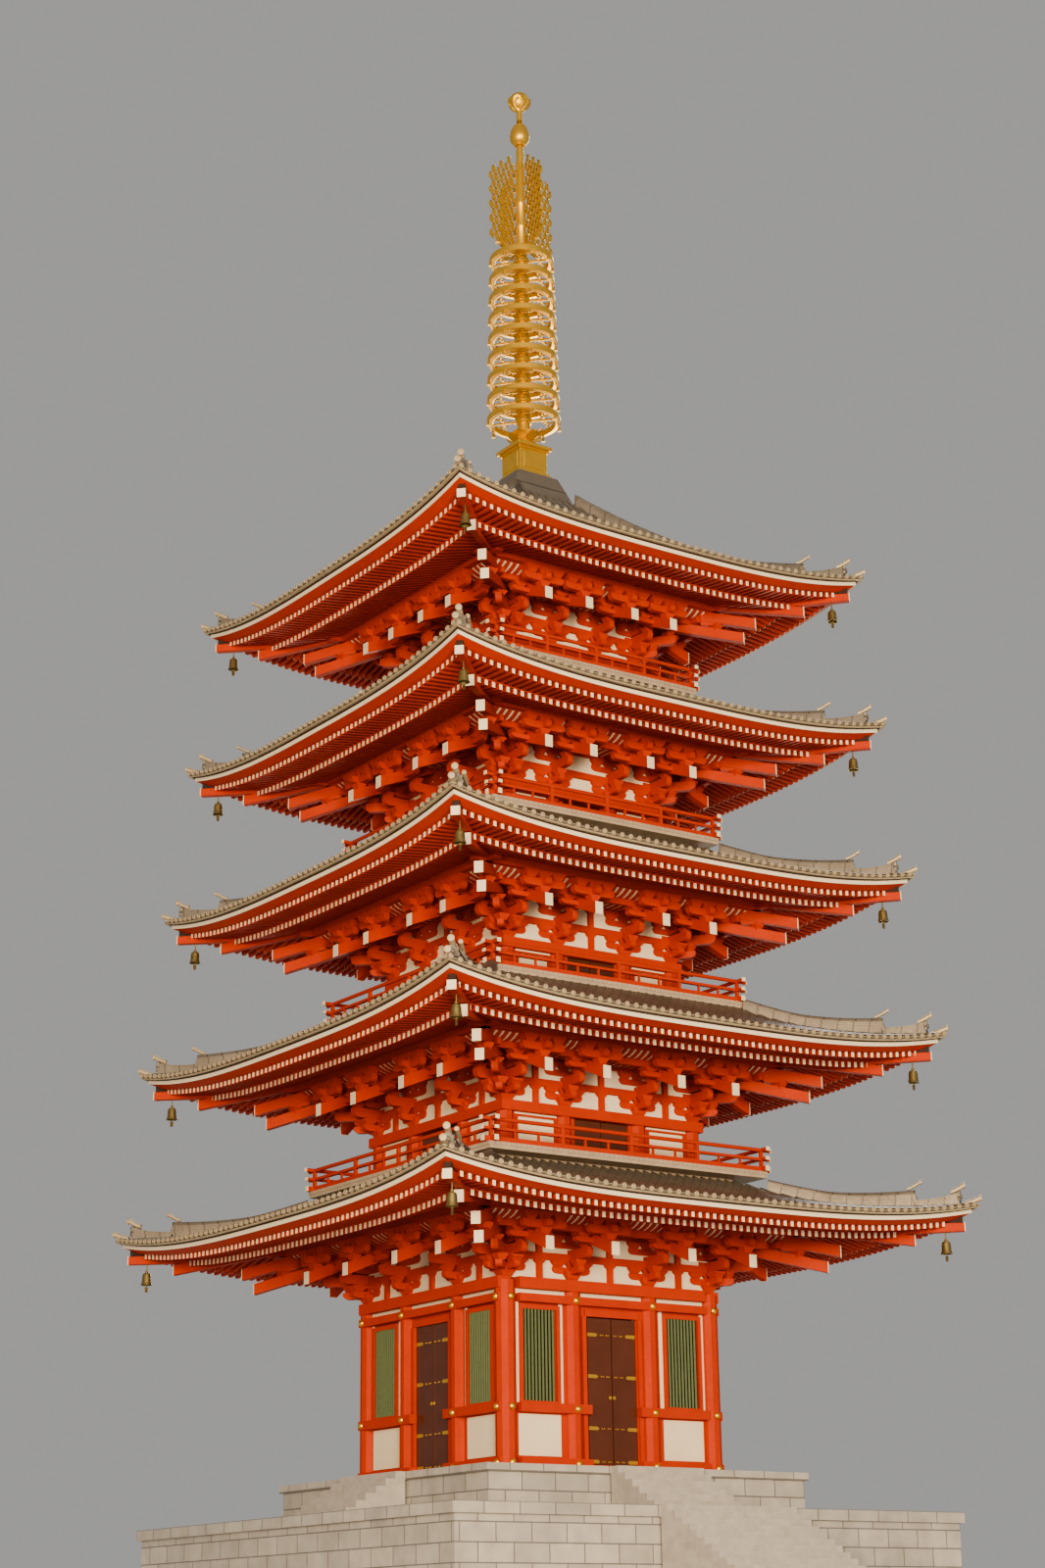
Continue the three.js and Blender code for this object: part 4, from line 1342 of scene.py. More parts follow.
@dataclass
class Brackets:
    """Bracket clusters in three steps with their beams, the purlin, and the plastered wall behind.

    Heights are from the wall's head, and distances out from the wall's middle line. struts are the
    places of the posts in mid bay. bearing is a bearing block's size and spread their distance on
    an arm. step is how far the purlin stands out. red and white gather the pieces of a cluster.

    An arm that reaches out has its two ends and its span upwards, the last one from the purlin.
    A small block has its distance out, its foot and its top. An arm across has its distance out,
    its span upwards and the top of its blocks. A tail has the distance, the underside and the
    height of its end, and then the distance and underside of its inner end.
    """

    storey: Storey
    struts: Sequence[float]
    bearing: float = 0.47
    small_bearing: float = 0.36
    foot_bearing: float = 0.56
    foot_height: float = 0.27
    spread: float = 0.475
    arm_width: float = 0.2
    arm: float = 0.66
    outer_arm: float = 0.74
    tail_width: float = 0.25
    rib_pitch: float = 0.234
    stem: float = 0.0885
    flare: float = 0.177
    step: float = 1.95
    red: list = field(default_factory=list)
    white: list = field(default_factory=list)

    BEARING_FOOT = 0.28
    BEARING_FLARE = 0.7
    BEARING_DEPTH = 0.8
    BEARING_TAPER = 0.34
    ARM_END = ((0.0, 0.55), (0.02, 0.33), (0.06, 0.15), (0.12, 0.04), (0.19, 0.0))
    ARMS_OUT = ((-0.3, 0.6, (0.18, 0.38)), (-0.3, 1.05, (0.58, 0.87)))
    END_ARM = (-0.5, 0.34, (1.12, 1.33))
    SMALL_BLOCKS = ((0.45, 0.38, 0.58), (0.85, 0.87, 1.02), (1.95, 0.92, 1.12))
    ARMS_ACROSS = ((1.3, (0.93, 1.08), 1.2), (1.95, (1.1, 1.33), 1.56))
    WALL_ARMS = (((0.19, 0.38), 0.55), ((0.92, 1.1), 1.3))
    TAILS = ((2.25, 0.49, 0.36, (-0.1, 1.44)),)
    HIP_TAILS = ((3.65, 0.44, 0.32, (-0.1, 1.4)), (4.04, 0.89, 0.33, (1.4, 1.5)))
    BEAMS = (((0.0, 0.17), (0.55, 0.75)), ((0.0, 0.17), (1.3, 1.42)))
    OUTER_BEAM = ((1.3, 1.44), (1.19, 1.39))
    RIB = ((1.37, 1.36), (1.5, 1.375), (1.65, 1.42), (1.8, 1.49), (1.92, 1.58))
    CEILING = oblong((0.05, 1.32), (1.4, 1.43))
    SLAT = oblong((0.05, 1.3), (1.36, 1.4))
    TIERS = ((0.0, 0.55), (0.75, 1.3))

    def _bearing(self, size: float, height: float) -> Piece:
        """A bearing block whose lower part narrows to its foot.

        Args:
            size: Its width.
            height: Its height.

        Returns:
            The block, on its foot at the origin.
        """
        low, wide, flare = size * self.BEARING_FOOT, size / 2, height * self.BEARING_FLARE
        half = [(low, 0), (low + 0.42 * (wide - low), 0.5 * flare), (wide, flare), (wide, height)]
        block = Bench.plate(twofold(half), self.BEARING_DEPTH * size, Paint.VERMILION, out=ALONG)

        def taper(places: np.ndarray) -> np.ndarray:
            """Draws the lower part in towards its foot."""
            places[:, 1] *= 1 - self.BEARING_TAPER * np.clip(1 - places[:, 2] / flare, 0, 1)
            return places

        return Bench.warp(block, taper)

    def _arm(self, span: Span, out: Vector, z: Span) -> Piece:
        """A bracket arm whose ends curve up.

        Args:
            span: Both its ends along its direction.
            out: Its direction.
            z: Its span upwards.

        Returns:
            The arm.
        """
        (a, b), (low, high) = span, z
        deep = high - low
        left = [(a + u, low + v * deep) for u, v in self.ARM_END]
        right = [(b - u, low + v * deep) for u, v in reversed(self.ARM_END)]
        return Bench.plate([(a, high), *left, *right, (b, high)], self.arm_width, Paint.VERMILION, out=out)

    def _crossing(self, d: float, reach: float, arm: Span, top: float) -> list[Piece]:
        """An arm along the wall at one step, with three bearing blocks on it.

        Args:
            d: Distance out from the wall's middle line.
            reach: Half length of the arm.
            arm: Heights of the arm's underside and top.
            top: Height of the blocks' top.

        Returns:
            The arm and its blocks.
        """
        made = [self._arm((-reach, reach), ALONG, arm)]
        for x in (-self.spread, 0, self.spread):
            made.append(Bench.move(self._bearing(self.bearing, top - arm[1]), x, 0, arm[1]))
        return [Bench.move(piece, y=-d) for piece in made]

    def _tail(self, out: Vector, tip: float, low: float, deep: float, start: Point) -> None:
        """A slanting tail rafter with its white end.

        Args:
            out: Its direction.
            tip: Distance of its end from the wall.
            low: Its underside at that end.
            deep: Its upright height.
            start: Distance and underside of its inner end.
        """
        inner, high = start
        rim = 0.008
        beam = slant((inner, tip), (high, low), deep)
        self.red.append(Bench.plate(beam, self.tail_width, Paint.VERMILION, out=out))
        end = oblong((tip, tip + 0.02), (low - rim, low + deep + rim))
        self.white.append(Bench.plate(end, self.tail_width + 2 * rim, Paint.WHITE, out=out))

    def _cluster(self, out: Vector, stretch: float = 1.0) -> None:
        """The pieces of one cluster that reach out in one direction, without their crossings.

        Args:
            out: The direction.
            stretch: How much longer they are than square to the wall.
        """
        for inner, outer, z in self.ARMS_OUT:
            self.red.append(self._arm((inner, outer * stretch), out, z))
        inner, outer, z = self.END_ARM
        end = self.step * stretch
        self.red.append(self._arm((end + inner, end + outer), out, z))
        for d, z, top in self.SMALL_BLOCKS:
            block = self._bearing(self.small_bearing, top - z)
            self.red.append(Bench.move(block, *(out * d * stretch + UP * z)))

    def _take(self, place: Matrix) -> tuple[Piece, Piece]:
        """Joins what the cluster has gathered and puts it in its place.

        Args:
            place: The place.

        Returns:
            The red and the white piece.
        """
        red, white = Bench.join(self.red), Bench.join(self.white)
        self.red, self.white = [], []
        for piece in (red, white):
            piece.data.transform(place)
        return red, white

    def _square(self, place: Matrix) -> tuple[Piece, Piece]:
        """A cluster square to the wall, on its large bearing block and the arms on the wall's line.

        Args:
            place: Its place.

        Returns:
            Its red and its white piece.
        """
        self.red.append(self._bearing(self.foot_bearing, self.foot_height))
        for z, top in self.WALL_ARMS:
            self.red += self._crossing(0, self.arm, z, top)
        self._cluster(FRONT)
        for d, z, top in self.ARMS_ACROSS:
            self.red += self._crossing(d, self.outer_arm, z, top)
        for tail in self.TAILS:
            self._tail(FRONT, *tail)
        return self._take(place)

    def _clusters(self) -> list[tuple[Piece, Piece]]:
        """Both inner clusters of the front and the near corner's cluster."""
        s = self.storey
        inner = self._square(Matrix.Translation((s.bay, -s.wall, s.head)))
        twin = tuple(Bench.copy(piece, Matrix.Translation((-2 * s.bay, 0, 0))) for piece in inner)
        side = self._square(Matrix.Identity(4))
        turn = Matrix.Rotation(math.radians(-90), 4, "Z") @ Matrix.Scale(0.99, 4)
        turned = [Bench.copy(piece, turn) for piece in side]
        self._cluster(CORNER, ROOT2)
        for tail in self.HIP_TAILS:
            self._tail(CORNER, *tail)
        slanted = self._take(Matrix.Identity(4))
        corner = tuple(Bench.move(Bench.join(parts), -s.wall, -s.wall, s.head)
                       for parts in zip(side, turned, slanted))
        return [inner, twin, corner]

    def _run(self, d: Span, z: Span, paint: Paint, past: float = 0.0) -> Piece:
        """A beam or board all along the front.

        Args:
            d: Its span out from the wall.
            z: Its span upwards.
            paint: Its finish.
            past: How far it runs past the hips, to cross the next side's; it is mitred if 0.

        Returns:
            The beam.
        """
        s = self.storey
        reach = s.wall + d[1] + past
        beam = Bench.block((-reach, reach), (-s.wall - d[1], -s.wall - d[0]), (s.head + z[0], s.head + z[1]),
                           paint)
        return beam if past else Bench.mitre(beam)

    def _ribs(self) -> list[Piece]:
        """Curved ribs that slant from the second beam out to the purlin, over pale boards."""
        s = self.storey
        line = list(self.RIB)
        back = line[::-1]
        rib = Bench.plate(line + shift(back, -0.03, 0.08), 0.13, Paint.VERMILION)
        lining = shift(line, -0.01, 0.022) + shift(back, -0.03, 0.07)
        board = Bench.plate(lining, 2 * (s.wall + 2), Paint.WHITE)
        ceiling = Bench.plate(self.CEILING, 2 * (s.wall + 1.4), Paint.WHITE)
        slat = Bench.plate(self.SLAT, 0.06, Paint.VERMILION)
        for piece in (rib, slat):
            Bench.centred_row(piece, 2 * int((s.wall + 1.8) / self.rib_pitch), self.rib_pitch)
        return [Bench.mitre(Bench.move(piece, 0, -s.wall, s.head)) for piece in (rib, slat, board, ceiling)]

    def _posts(self) -> list[Piece]:
        """Struts in mid bay, in both tiers of plaster, each with a flared top."""
        s = self.storey
        made = []
        stem, flare = self.stem, self.flare
        for x in self.struts:
            for foot, top in self.TIERS:
                half = [(stem, foot), (stem, top - 0.12), (flare, top - 0.05), (flare, top)]
                strut = Bench.plate(twofold(half), 0.14, Paint.VERMILION, out=ALONG)
                made.append(Bench.move(strut, x, -s.wall - 0.09, s.head))
        return made

    def build(self) -> None:
        """Builds one storey's brackets."""
        s = self.storey
        reds, whites = zip(*self._clusters())
        rib, slat, board, ceiling = self._ribs()
        purlin = (1.56, s.rafter_z(s.purlin) - s.head)
        red = [
            *reds, rib, slat, *self._posts(),
            *(self._run(d, z, Paint.VERMILION) for d, z in self.BEAMS),
            self._run(*self.OUTER_BEAM, Paint.VERMILION, past=0.35),
            self._run((self.step - 0.13, self.step + 0.13), purlin, Paint.VERMILION, past=0.4),
        ]
        plaster = self._run((-0.1, 0.05), (0.0, s.rafter_z(s.wall - 0.1) - s.head), Paint.PLASTER)
        node = f"storey_{s.number}_brackets"
        Bench.keep_round(Bench.join(red), f"{node}_timber", Paint.VERMILION, node)
        Bench.keep_round(Bench.join([*whites, board, ceiling]), f"{node}_white_ends", Paint.WHITE, node)
        Bench.keep_round(plaster, f"{node}_plaster", Paint.PLASTER, node)


@dataclass
class FirstStorey:
    """What dresses the first storey's walls: plaster, window bars, frames and round nail covers.

    face is the walls' face and proud that of the beams. columns are the places of the inner and
    the corner column, and STOPS the spans of the blocks over them. BESIDE is how far the plaster
    reaches on both sides of a window, and BACKING_X and backing how far the dark board does, to
    the sides and upwards. BACKING_Y is how far that board reaches out from and in behind the face.
    """

    face: float = 3.71
    proud: float = 3.96
    columns: Span = (1.37, 3.63)
    window_x: Span = (1.97, 3.12)
    window_z: Span = (8.06, 10.6)
    rim: float = 0.12
    bar_pitch: float = 0.118
    bar_half: float = 0.042
    strip_top: float = 10.78
    dado_z: Span = (6.56, 7.7)
    frieze: float = 3.6
    frieze_z: Span = (11.01, 11.15)
    stop_z: Span = (11.0, 11.16)
    door_x: Span = (0.92, 1.06)
    door_z: Span = (6.5, 10.5)
    lintel: float = 0.95
    lintel_deep: float = 0.2
    frame_out: float = 0.08
    stop_out: float = 0.06
    dado_past: float = 0.15
    backing: float = 0.1
    bar_gap: float = 0.005

    FRAME_Y = (-0.09, 0.01)
    STOPS = ((-0.24, 0.24), (-0.24, 0.14))
    BESIDE = (0.25, 0.28)
    BACKING_X = (-0.03, 0.08)
    BACKING_Y = (-0.08, 0.1)
    STUD = ((0, 0), (0.1, 0), (0.085, 0.035), (0.04, 0.06), (0, 0.066))
    STUD_HEIGHTS = (10.9, 7.87, 6.36)

    def _board(self, x: Span, z: Span, paint: Paint, out: float = 0.02, back: float = 0.01) -> Piece:
        """A board on the wall's face.

        Args:
            x, z: Its spans.
            paint: Its finish.
            out: How far it stands out from the face.
            back: How far it reaches in behind the face.

        Returns:
            The board.
        """
        return Bench.block(x, (-self.face - out, -self.face + back), z, paint)

    def _bars(self) -> Piece:
        """The right-hand window's green upright bars, each with an edge to the front."""
        (x0, x1), (z0, z1) = self.window_x, self.window_z
        half = self.bar_half
        section = [(-half, 0), (0, -half), (half, 0), (0, half)]
        bar = Bench.plate(section, z1 - z0, Paint.GREEN, out=ALONG, up=-FRONT)
        count = int((x1 - x0) / self.bar_pitch)
        first = (x0 + x1) / 2 - (count - 1) * self.bar_pitch / 2
        Bench.move(bar, first, -self.face - half - self.bar_gap, (z0 + z1) / 2)
        return Bench.row(bar, count, self.bar_pitch)

    def _plaster(self) -> Piece:
        """The white strips beside the windows, the panels under them and the frieze."""
        (x0, x1), (z0, _) = self.window_x, self.window_z
        rim = self.rim
        left, right = self.BESIDE
        beside = (z0 - rim, self.strip_top)
        side = [
            self._board((x0 - left, x0 - rim), beside, Paint.PLASTER),
            self._board((x1 + rim, x1 + right), beside, Paint.PLASTER),
            self._board((x0 - self.dado_past, x1 + self.dado_past), self.dado_z, Paint.PLASTER),
        ]
        frieze = self._board((-self.frieze, self.frieze), self.frieze_z, Paint.PLASTER)
        return Bench.join([Bench.mirrored(Bench.join(side)), frieze])

    def _dark_board(self) -> Piece:
        """A near-black board in the right-hand window's opening, behind its bars: painted shade for the dark
        inside.
        """
        (x0, x1), (z0, z1) = self.window_x, self.window_z
        left, right = self.BACKING_X
        z = (z0 - self.backing, z1 + self.backing)
        return self._board((x0 + left, x1 + right), z, Paint.DARK, *self.BACKING_Y)

    def _frames(self) -> Piece:
        """The red frames of the windows and the door, and the blocks over the columns."""
        y = tuple(out - self.face for out in self.FRAME_Y)
        side = [
            *Bench.frame(self.window_x, y, self.window_z, (self.rim, self.rim), Paint.VERMILION),
            self._board(self.door_x, self.door_z, Paint.VERMILION, self.frame_out),
        ]
        for column, (left, right) in zip(self.columns, self.STOPS):
            x = (column + left, column + right)
            side.append(self._board(x, self.stop_z, Paint.VERMILION, self.stop_out, 0.0))
        top = self.door_z[1]
        lintel = self._board((-self.lintel, self.lintel), (top, top + self.lintel_deep),
                             Paint.VERMILION, self.frame_out)
        return Bench.join([Bench.mirrored(Bench.join(side)), lintel])

    def _studs(self) -> Piece:
        """Round nail covers on the beams at the columns."""
        made = []
        for x in self.columns:
            for z in self.STUD_HEIGHTS:
                stud = Bench.move(Bench.facing(self.STUD, Paint.GILT, 16), x, -self.proud, z)
                made.append(Bench.smooth(stud, 60))
        return Bench.mirrored(Bench.join(made))

    def build(self) -> None:
        """Builds the first storey's dressing on all four sides."""
        for piece, name, paint in (
                (self._frames(), "frames", Paint.VERMILION),
                (Bench.mirrored(self._bars()), "window_bars", Paint.GREEN),
                (self._plaster(), "plaster", Paint.PLASTER),
                (Bench.mirrored(self._dark_board()), "window_shade_boards", Paint.DARK),
                (self._studs(), "nail_covers", Paint.GILT)):
            Bench.keep_round(piece, f"first_storey_{name}", paint)


@dataclass
class UpperStorey:
    """The dressing of a low upper storey: pale panels in red frames, doors and the balcony.

    half is the deck's half width and deck_z its underside. line_inset is how far the railing
    stands in from the deck's edge, and past, middle_past and foot_past how far its rails run past
    the corner. Of the panels, beside is their distance from the columns' centre lines, above the
    one from the deck and the wall's head, and strip_past how far the strips over and under them
    run past them. Spans that end in Y are measured in from the wall, those that end in Z up from
    the deck, and those of STRIP_Z also down from the head.
    """

    storey: Storey
    half: float
    deck_z: float
    line_inset: float = 0.12
    past: float = 0.34
    middle_past: float = 0.31
    foot_past: float = 0.29
    rail: float = 0.06
    rail_z: float = 0.66
    timber: float = 0.06
    post: float = 0.05
    strut: float = 0.03
    bays: int = 4
    board: float = 0.165
    board_height: float = 0.1
    joint: float = 0.006
    face: float = 0.08
    beside: float = 0.37
    above: float = 0.42
    strip_past: float = 0.09
    door_x: Span = (0.012, 0.38)
    door_gap: float = 0.31
    door_rail: float = 0.1

    FRAME = (0.07, 0.06)
    FRAME_Y = (-0.05, 0.01)
    STRIP_Y = (-0.02, 0.01)
    STRIP_Z = (0.3, 0.355)
    PANEL_Y = (0.02, 0.05)
    DOOR_Y = (-0.02, 0.05)
    DOOR_RAIL_Y = (-0.04, -0.01)
    FOOT_Z = (0, 0.15)
    MIDDLE_Z = (0.34, 0.42)
    POST_Z = (0, 0.62)
    STRUT_Z = (0.15, 0.34)
    CAP_ENDS = (-0.02, 0.012)
    CAPS = ((0.063, (0.6, 0.72)), (0.066, (0.33, 0.43)), (0.066, (0.0, 0.16)))
    BOARD_Y = (-0.025, 0.002)

    @property
    def floor(self) -> float:
        """The deck's top."""
        return self.deck_z + DECK

    @property
    def name(self) -> str:
        """What its pieces' names begin with."""
        return f"storey_{self.storey.number}"

    def walls(self) -> None:
        """Dresses the walls on all four sides."""
        s = self.storey
        face = s.wall + self.face
        rim, slip, panel = (tuple(y - face for y in span)
                            for span in (self.FRAME_Y, self.STRIP_Y, self.PANEL_Y))
        x = (s.bay + self.beside, s.wall - self.beside)
        z = (self.floor + self.above, s.head - self.above)
        frame = Bench.frame(x, rim, z, self.FRAME, Paint.VERMILION)
        wide = (x[0] - self.strip_past, x[1] + self.strip_past)
        near, far = self.STRIP_Z
        plaster = [
            Bench.block(wide, slip, (s.head - far, s.head - near), Paint.PLASTER),
            Bench.block(wide, slip, (self.floor + near, self.floor + far), Paint.PLASTER),
            Bench.block(x, panel, z, Paint.PLASTER),
        ]
        Bench.keep_round(Bench.mirrored(Bench.join(frame)), f"{self.name}_window_frames", Paint.VERMILION)
        Bench.keep_round(Bench.mirrored(Bench.join(plaster)), f"{self.name}_plaster", Paint.PLASTER)

    def doors(self) -> None:
        """The closed doors in the middle bay of all four sides."""
        s = self.storey
        x = (self.door_x[0], s.bay - self.door_x[1])
        foot, top = self.floor + self.door_gap, s.head - self.door_gap
        face, proud = (tuple(y - s.wall for y in span) for span in (self.DOOR_Y, self.DOOR_RAIL_Y))
        leaf = Bench.block(x, face, (foot, top), Paint.DOOR)
        rails = [Bench.block(x, proud, (z, z + self.door_rail), Paint.DOOR)
                 for z in (foot, top - self.door_rail)]
        Bench.keep_round(Bench.mirrored(Bench.join([leaf, *rails])), f"{self.name}_doors", Paint.DOOR)

    def _beam(self, x: Span, half: float, z: Span, paint: Paint = Paint.VERMILION) -> Piece:
        """A squared timber of the railing, in the railing's line.

        Args:
            x: Its span along the front.
            half: Half its width.
            z: Its span up from the deck.
            paint: Its finish.

        Returns:
            The timber.
        """
        line = self.half - self.line_inset
        return Bench.block(x, (-line - half, -line + half), (self.floor + z[0], self.floor + z[1]), paint)

    def railing(self) -> None:
        """Builds the railing round the deck, with white caps on the ends of its timbers."""
        line = self.half - self.line_inset
        end, middle, foot = line + self.past, line + self.middle_past, line + self.foot_past
        rail = Bench.turn(Bench.round_bar(self.rail, (-end, end), Paint.VERMILION, 12), 90, "Y")
        Bench.smooth(Bench.move(rail, 0, -line, self.floor + self.rail_z), 40)
        step = 2 * line / self.bays
        parts = [
            rail,
            self._beam((-foot, foot), self.timber, self.FOOT_Z),
            self._beam((-middle, middle), self.timber, self.MIDDLE_Z),
        ]
        for i in range(self.bays):
            x = -line + i * step
            parts.append(self._beam((x - self.post, x + self.post), self.post, self.POST_Z))
        strut = self._beam((-self.strut, self.strut), self.strut, self.STRUT_Z)
        Bench.move(strut, -line + step / 3)
        parts.append(Bench.row(strut, 3 * self.bays - 1, step / 3))
        caps = []
        inner, outer = self.CAP_ENDS
        for reach, (half, z) in zip((end, middle, foot), self.CAPS):
            for side in (-1, 1):
                x = sorted((side * (reach + inner), side * (reach + outer)))
                caps.append(self._beam(x, half, z, Paint.WHITE))
        node = f"{self.name}_railing"
        Bench.keep_round(Bench.join(parts), f"{node}_timber", Paint.VERMILION, node)
        Bench.keep_round(Bench.join(caps), f"{node}_caps", Paint.WHITE, node)

    def deck(self) -> None:
        """The pale ends of the deck's boards."""
        edge = -self.half
        count = int(2 * self.half / (self.board + 2 * self.joint))
        pitch = 2 * self.half / count
        board = Bench.block((edge + self.joint, edge + pitch - self.joint),
                            tuple(edge + y for y in self.BOARD_Y),
                            (self.floor - self.board_height, self.floor), Paint.DECK)
        Bench.keep_round(Bench.row(board, count, pitch), f"{self.name}_board_ends", Paint.DECK)

    def build(self) -> None:
        """Builds the whole dressing."""
        self.walls()
        self.doors()
        self.railing()
        self.deck()


@dataclass
class Doors:
    """Rails, straps and studs on the first storey's double doors.

    x and z are a right leaf's spans, and rails the undersides of its level rails.
    """

    x: Span = (0.016, 0.848)
    z: Span = (6.382, 10.468)
    face: float = 3.71
    pull_z: float = 8.25
    rails: Sequence[float] = (6.382, 7.3, 8.75, 9.92, 10.308)

    STRAP = ((0, 0.03), (0, 0.13), (-0.3, 0.13), (-0.36, 0.08), (-0.3, 0.03))
    STUD = ((0, 0), (0.024, 0), (0.018, 0.007), (0, 0.009))
    STUD_PLACES = (0.09, 0.16, 0.29, 0.36)
    PULL = ((0, 0), (0.055, 0), (0.05, 0.008), (0, 0.01))

    def _wood(self) -> Piece:
        """A right leaf's stiles and rails."""
        y = (-self.face - 0.012, -self.face + 0.004)
        x0, x1 = self.x
        stiles = [Bench.block(x, y, self.z, Paint.DOOR) for x in ((x0, x0 + 0.11), (x1 - 0.12, x1))]
        rails = [Bench.block((x0 + 0.11, x1 - 0.12), y, (z, z + 0.16), Paint.DOOR) for z in self.rails]
        return Bench.join([*stiles, *rails])

    def _metal(self) -> Piece:
        """A right leaf's straps, studs and pull."""
        x0, x1 = self.x
        gilt = []
        for z in self.rails[:-1]:
            gilt.append(Bench.plate(shift(self.STRAP, x1, z), 0.004, Paint.GILT, out=ALONG))
            for u in self.STUD_PLACES:
                gilt.append(Bench.move(Bench.facing(self.STUD, Paint.GILT, 10), x0 + u, 0.002, z + 0.08))
        gilt.append(Bench.move(Bench.facing(self.PULL, Paint.GILT, 16), x0 + 0.055, 0.002, self.pull_z))
        return Bench.move(Bench.join(gilt), y=-self.face - 0.014)

    def _leaf(self, name: str, body: str, left: bool, turn: float) -> None:
        """Dresses one leaf.

        Args:
            name: The leaf's name.
            body: The body that carries it.
            left: Whether it is the left leaf.
            turn: Degrees to turn it by, from the front to its own side.
        """
        for piece, label, paint in (
                (self._wood(), "rails", Paint.DOOR),
                (self._metal(), "fittings", Paint.GILT)):
            if left:
                piece.data.transform(Matrix.Scale(-1, 4, ALONG))
                piece.data.flip_normals()
            Bench.keep(Bench.turn(piece, turn), f"{name}_{label}", paint, body=body)

    def build(self) -> None:
        """Dresses the front's moving leaves and the fixed ones of the other sides."""
        for word in ("left", "right"):
            self._leaf(f"front_door_{word}", f"door_{word}", word == "left", 0)
            for turn, place in ((90, "right"), (180, "back"), (270, "left")):
                self._leaf(f"{place}_doors_{word}", "root", word == "left", turn)


@dataclass
class Finial:
    """The gilt finial: basin, bowl, petals, nine rings with scrolls and small bells, flame, egg and jewel.

    Heights are those of the basin's foot, the bowl's foot, the lowest ring's top, the flame's foot
    and top, the egg's foot and the jewel's. The outlines below are measured up from them.
    """

    base: float = FINIAL_BASE[1]
    bowl: float = TERRACE_Z + 34.55
    sleeve: float = TERRACE_Z + 35.2
    first: float = TERRACE_Z + 35.72
    pitch: float = 0.754
    low: float = TERRACE_Z + 42.15
    high: float = TERRACE_Z + 45.45
    egg: float = TERRACE_Z + 46.0
    jewel: float = TERRACE_Z + 47.2
    ball: float = 0.36
    widest: float = 1.24
    narrower: float = 0.14

    MOULDINGS = ((0.66, 0.002, 0.1), (0.6, 0.1, 0.18), (0.54, 0.18, 0.98), (0.6, 0.94, 1.02),
                 (0.68, 1.02, 1.15))
    BOWL = ((0.14, 0), (0.5, 0), (0.52, 0.05), (0.47, 0.16), (0.34, 0.24), (0.26, 0.26), (0.26, 0.3),
            (0.36, 0.34), (0.44, 0.4), (0.24, 0.42), (0.22, 0.8), (0.14, 0.8))
    PETAL = twofold(((0.05, 0), (0.15, 0.3), (0.17, 0.55), (0.11, 0.8), (0, 1.0)))
    PETAL_RINGS = ((0.66, 0.26, 0.0), (0.58, 0.34, 22.5))
    SMALL_BELL = ((0, 0), (0.025, -0.005), (0.045, -0.03), (0.05, -0.13), (0.07, -0.18), (0.05, -0.18),
                  (0, -0.17))
    HUB = ((0.2, -0.2), (0.27, -0.18), (0.27, -0.02), (0.2, 0))
    FOOT = ((0.15, 0.06), (0.6, -0.16), (0.98, 0.1), (0.94, 0.2), (0.62, -0.02), (0.15, 0.18))
    BANDS = ((0.1, 0), (0.19, 0), (0.18, 0.8), (0.195, 0.82), (0.195, 0.88), (0.175, 0.9), (0.165, 1.7),
             (0.18, 1.72), (0.18, 1.78), (0.155, 1.8))
    EGG = ((0, 0.05), (0.1, 0.05), (0.1, 0.24), (0.24, 0.29), (0.33, 0.42), (0.347, 0.58), (0.31, 0.78),
           (0.23, 0.96), (0.12, 1.06), (0.1, 1.07), (0.1, 1.2), (0, 1.2))
    EGG_PETAL = twofold(((0.06, 0), (0.09, 0.1), (0, 0.2)))
    JEWEL_PETAL = twofold(((0.04, 0), (0.13, 0.14), (0.16, 0.3), (0.1, 0.42), (0, 0.48)))

    def _small_bell(self) -> Piece:
        """A small bell hung from its top at the origin."""
        return Bench.smooth(Bench.spin(self.SMALL_BELL, Paint.GILT, 8), 50)

    def _basin(self) -> Piece:
        """The square basin with its mouldings and a panel on each side."""
        z = self.base
        parts = [Bench.bevel(Bench.block((-half, half), (-half, half), (z + a, z + b), Paint.GILT), 0.012)
                 for half, a, b in self.MOULDINGS]
        panel = Bench.block((-0.4, 0.4), (-0.56, -0.5), (z + 0.28, z + 0.84), Paint.GILT)
        return Bench.join([*parts, Bench.four_sides(Bench.bevel(panel, 0.02))])

    def _petals(self, out: float, tall: float, first: float) -> Piece:
        """Eight petals round the bowl, bent outwards.

        Args:
            out: How far they reach out.
            tall: Their height.
            first: Degrees to the first of them.

        Returns:
            The petals.
        """
        petal = Bench.plate([(u, v * tall) for u, v in self.PETAL], 0.03, Paint.GILT, out=ALONG)

        def bend(places: np.ndarray) -> np.ndarray:
            """Bends a flat petal outwards."""
            places[:, 1] -= 0.22 + (out - 0.3) * np.sin(places[:, 2] / tall * math.pi * 0.55)
            return places

        return Bench.around(Bench.move(Bench.warp(petal, bend), z=self.bowl + 0.26), 8, first)

    def _bowl(self) -> Piece:
        """The bowl with its two rings of petals."""
        bowl = Bench.smooth(Bench.spin(shift(self.BOWL, 0, self.bowl), Paint.GILT, 32), 40)
        return Bench.join([bowl, *(self._petals(*ring) for ring in self.PETAL_RINGS)])

    def _scrolls(self, inner: float) -> list[Piece]:
        """The scrolls on both sides of a ring's front spoke.

        Args:
            inner: The ring's inner radius.

        Returns:
            The scrolls, flat at the origin's height.
        """
        middle = (inner + 0.27) / 2
        curls = (
            shift(crescent(200, 250, 0.15, 0.05), 0.17, middle + 0.2),
            shift(crescent(20, 250, 0.13, 0.045), 0.15, middle - 0.1),
            shift(crescent(150, 220, 0.13, 0.045), 0.42, middle + 0.16),
        )
        return [Bench.plate([(u * side, v) for u, v in curl], 0.05, Paint.GILT, out=ALONG, up=FRONT)
                for side in (-1, 1) for curl in curls]

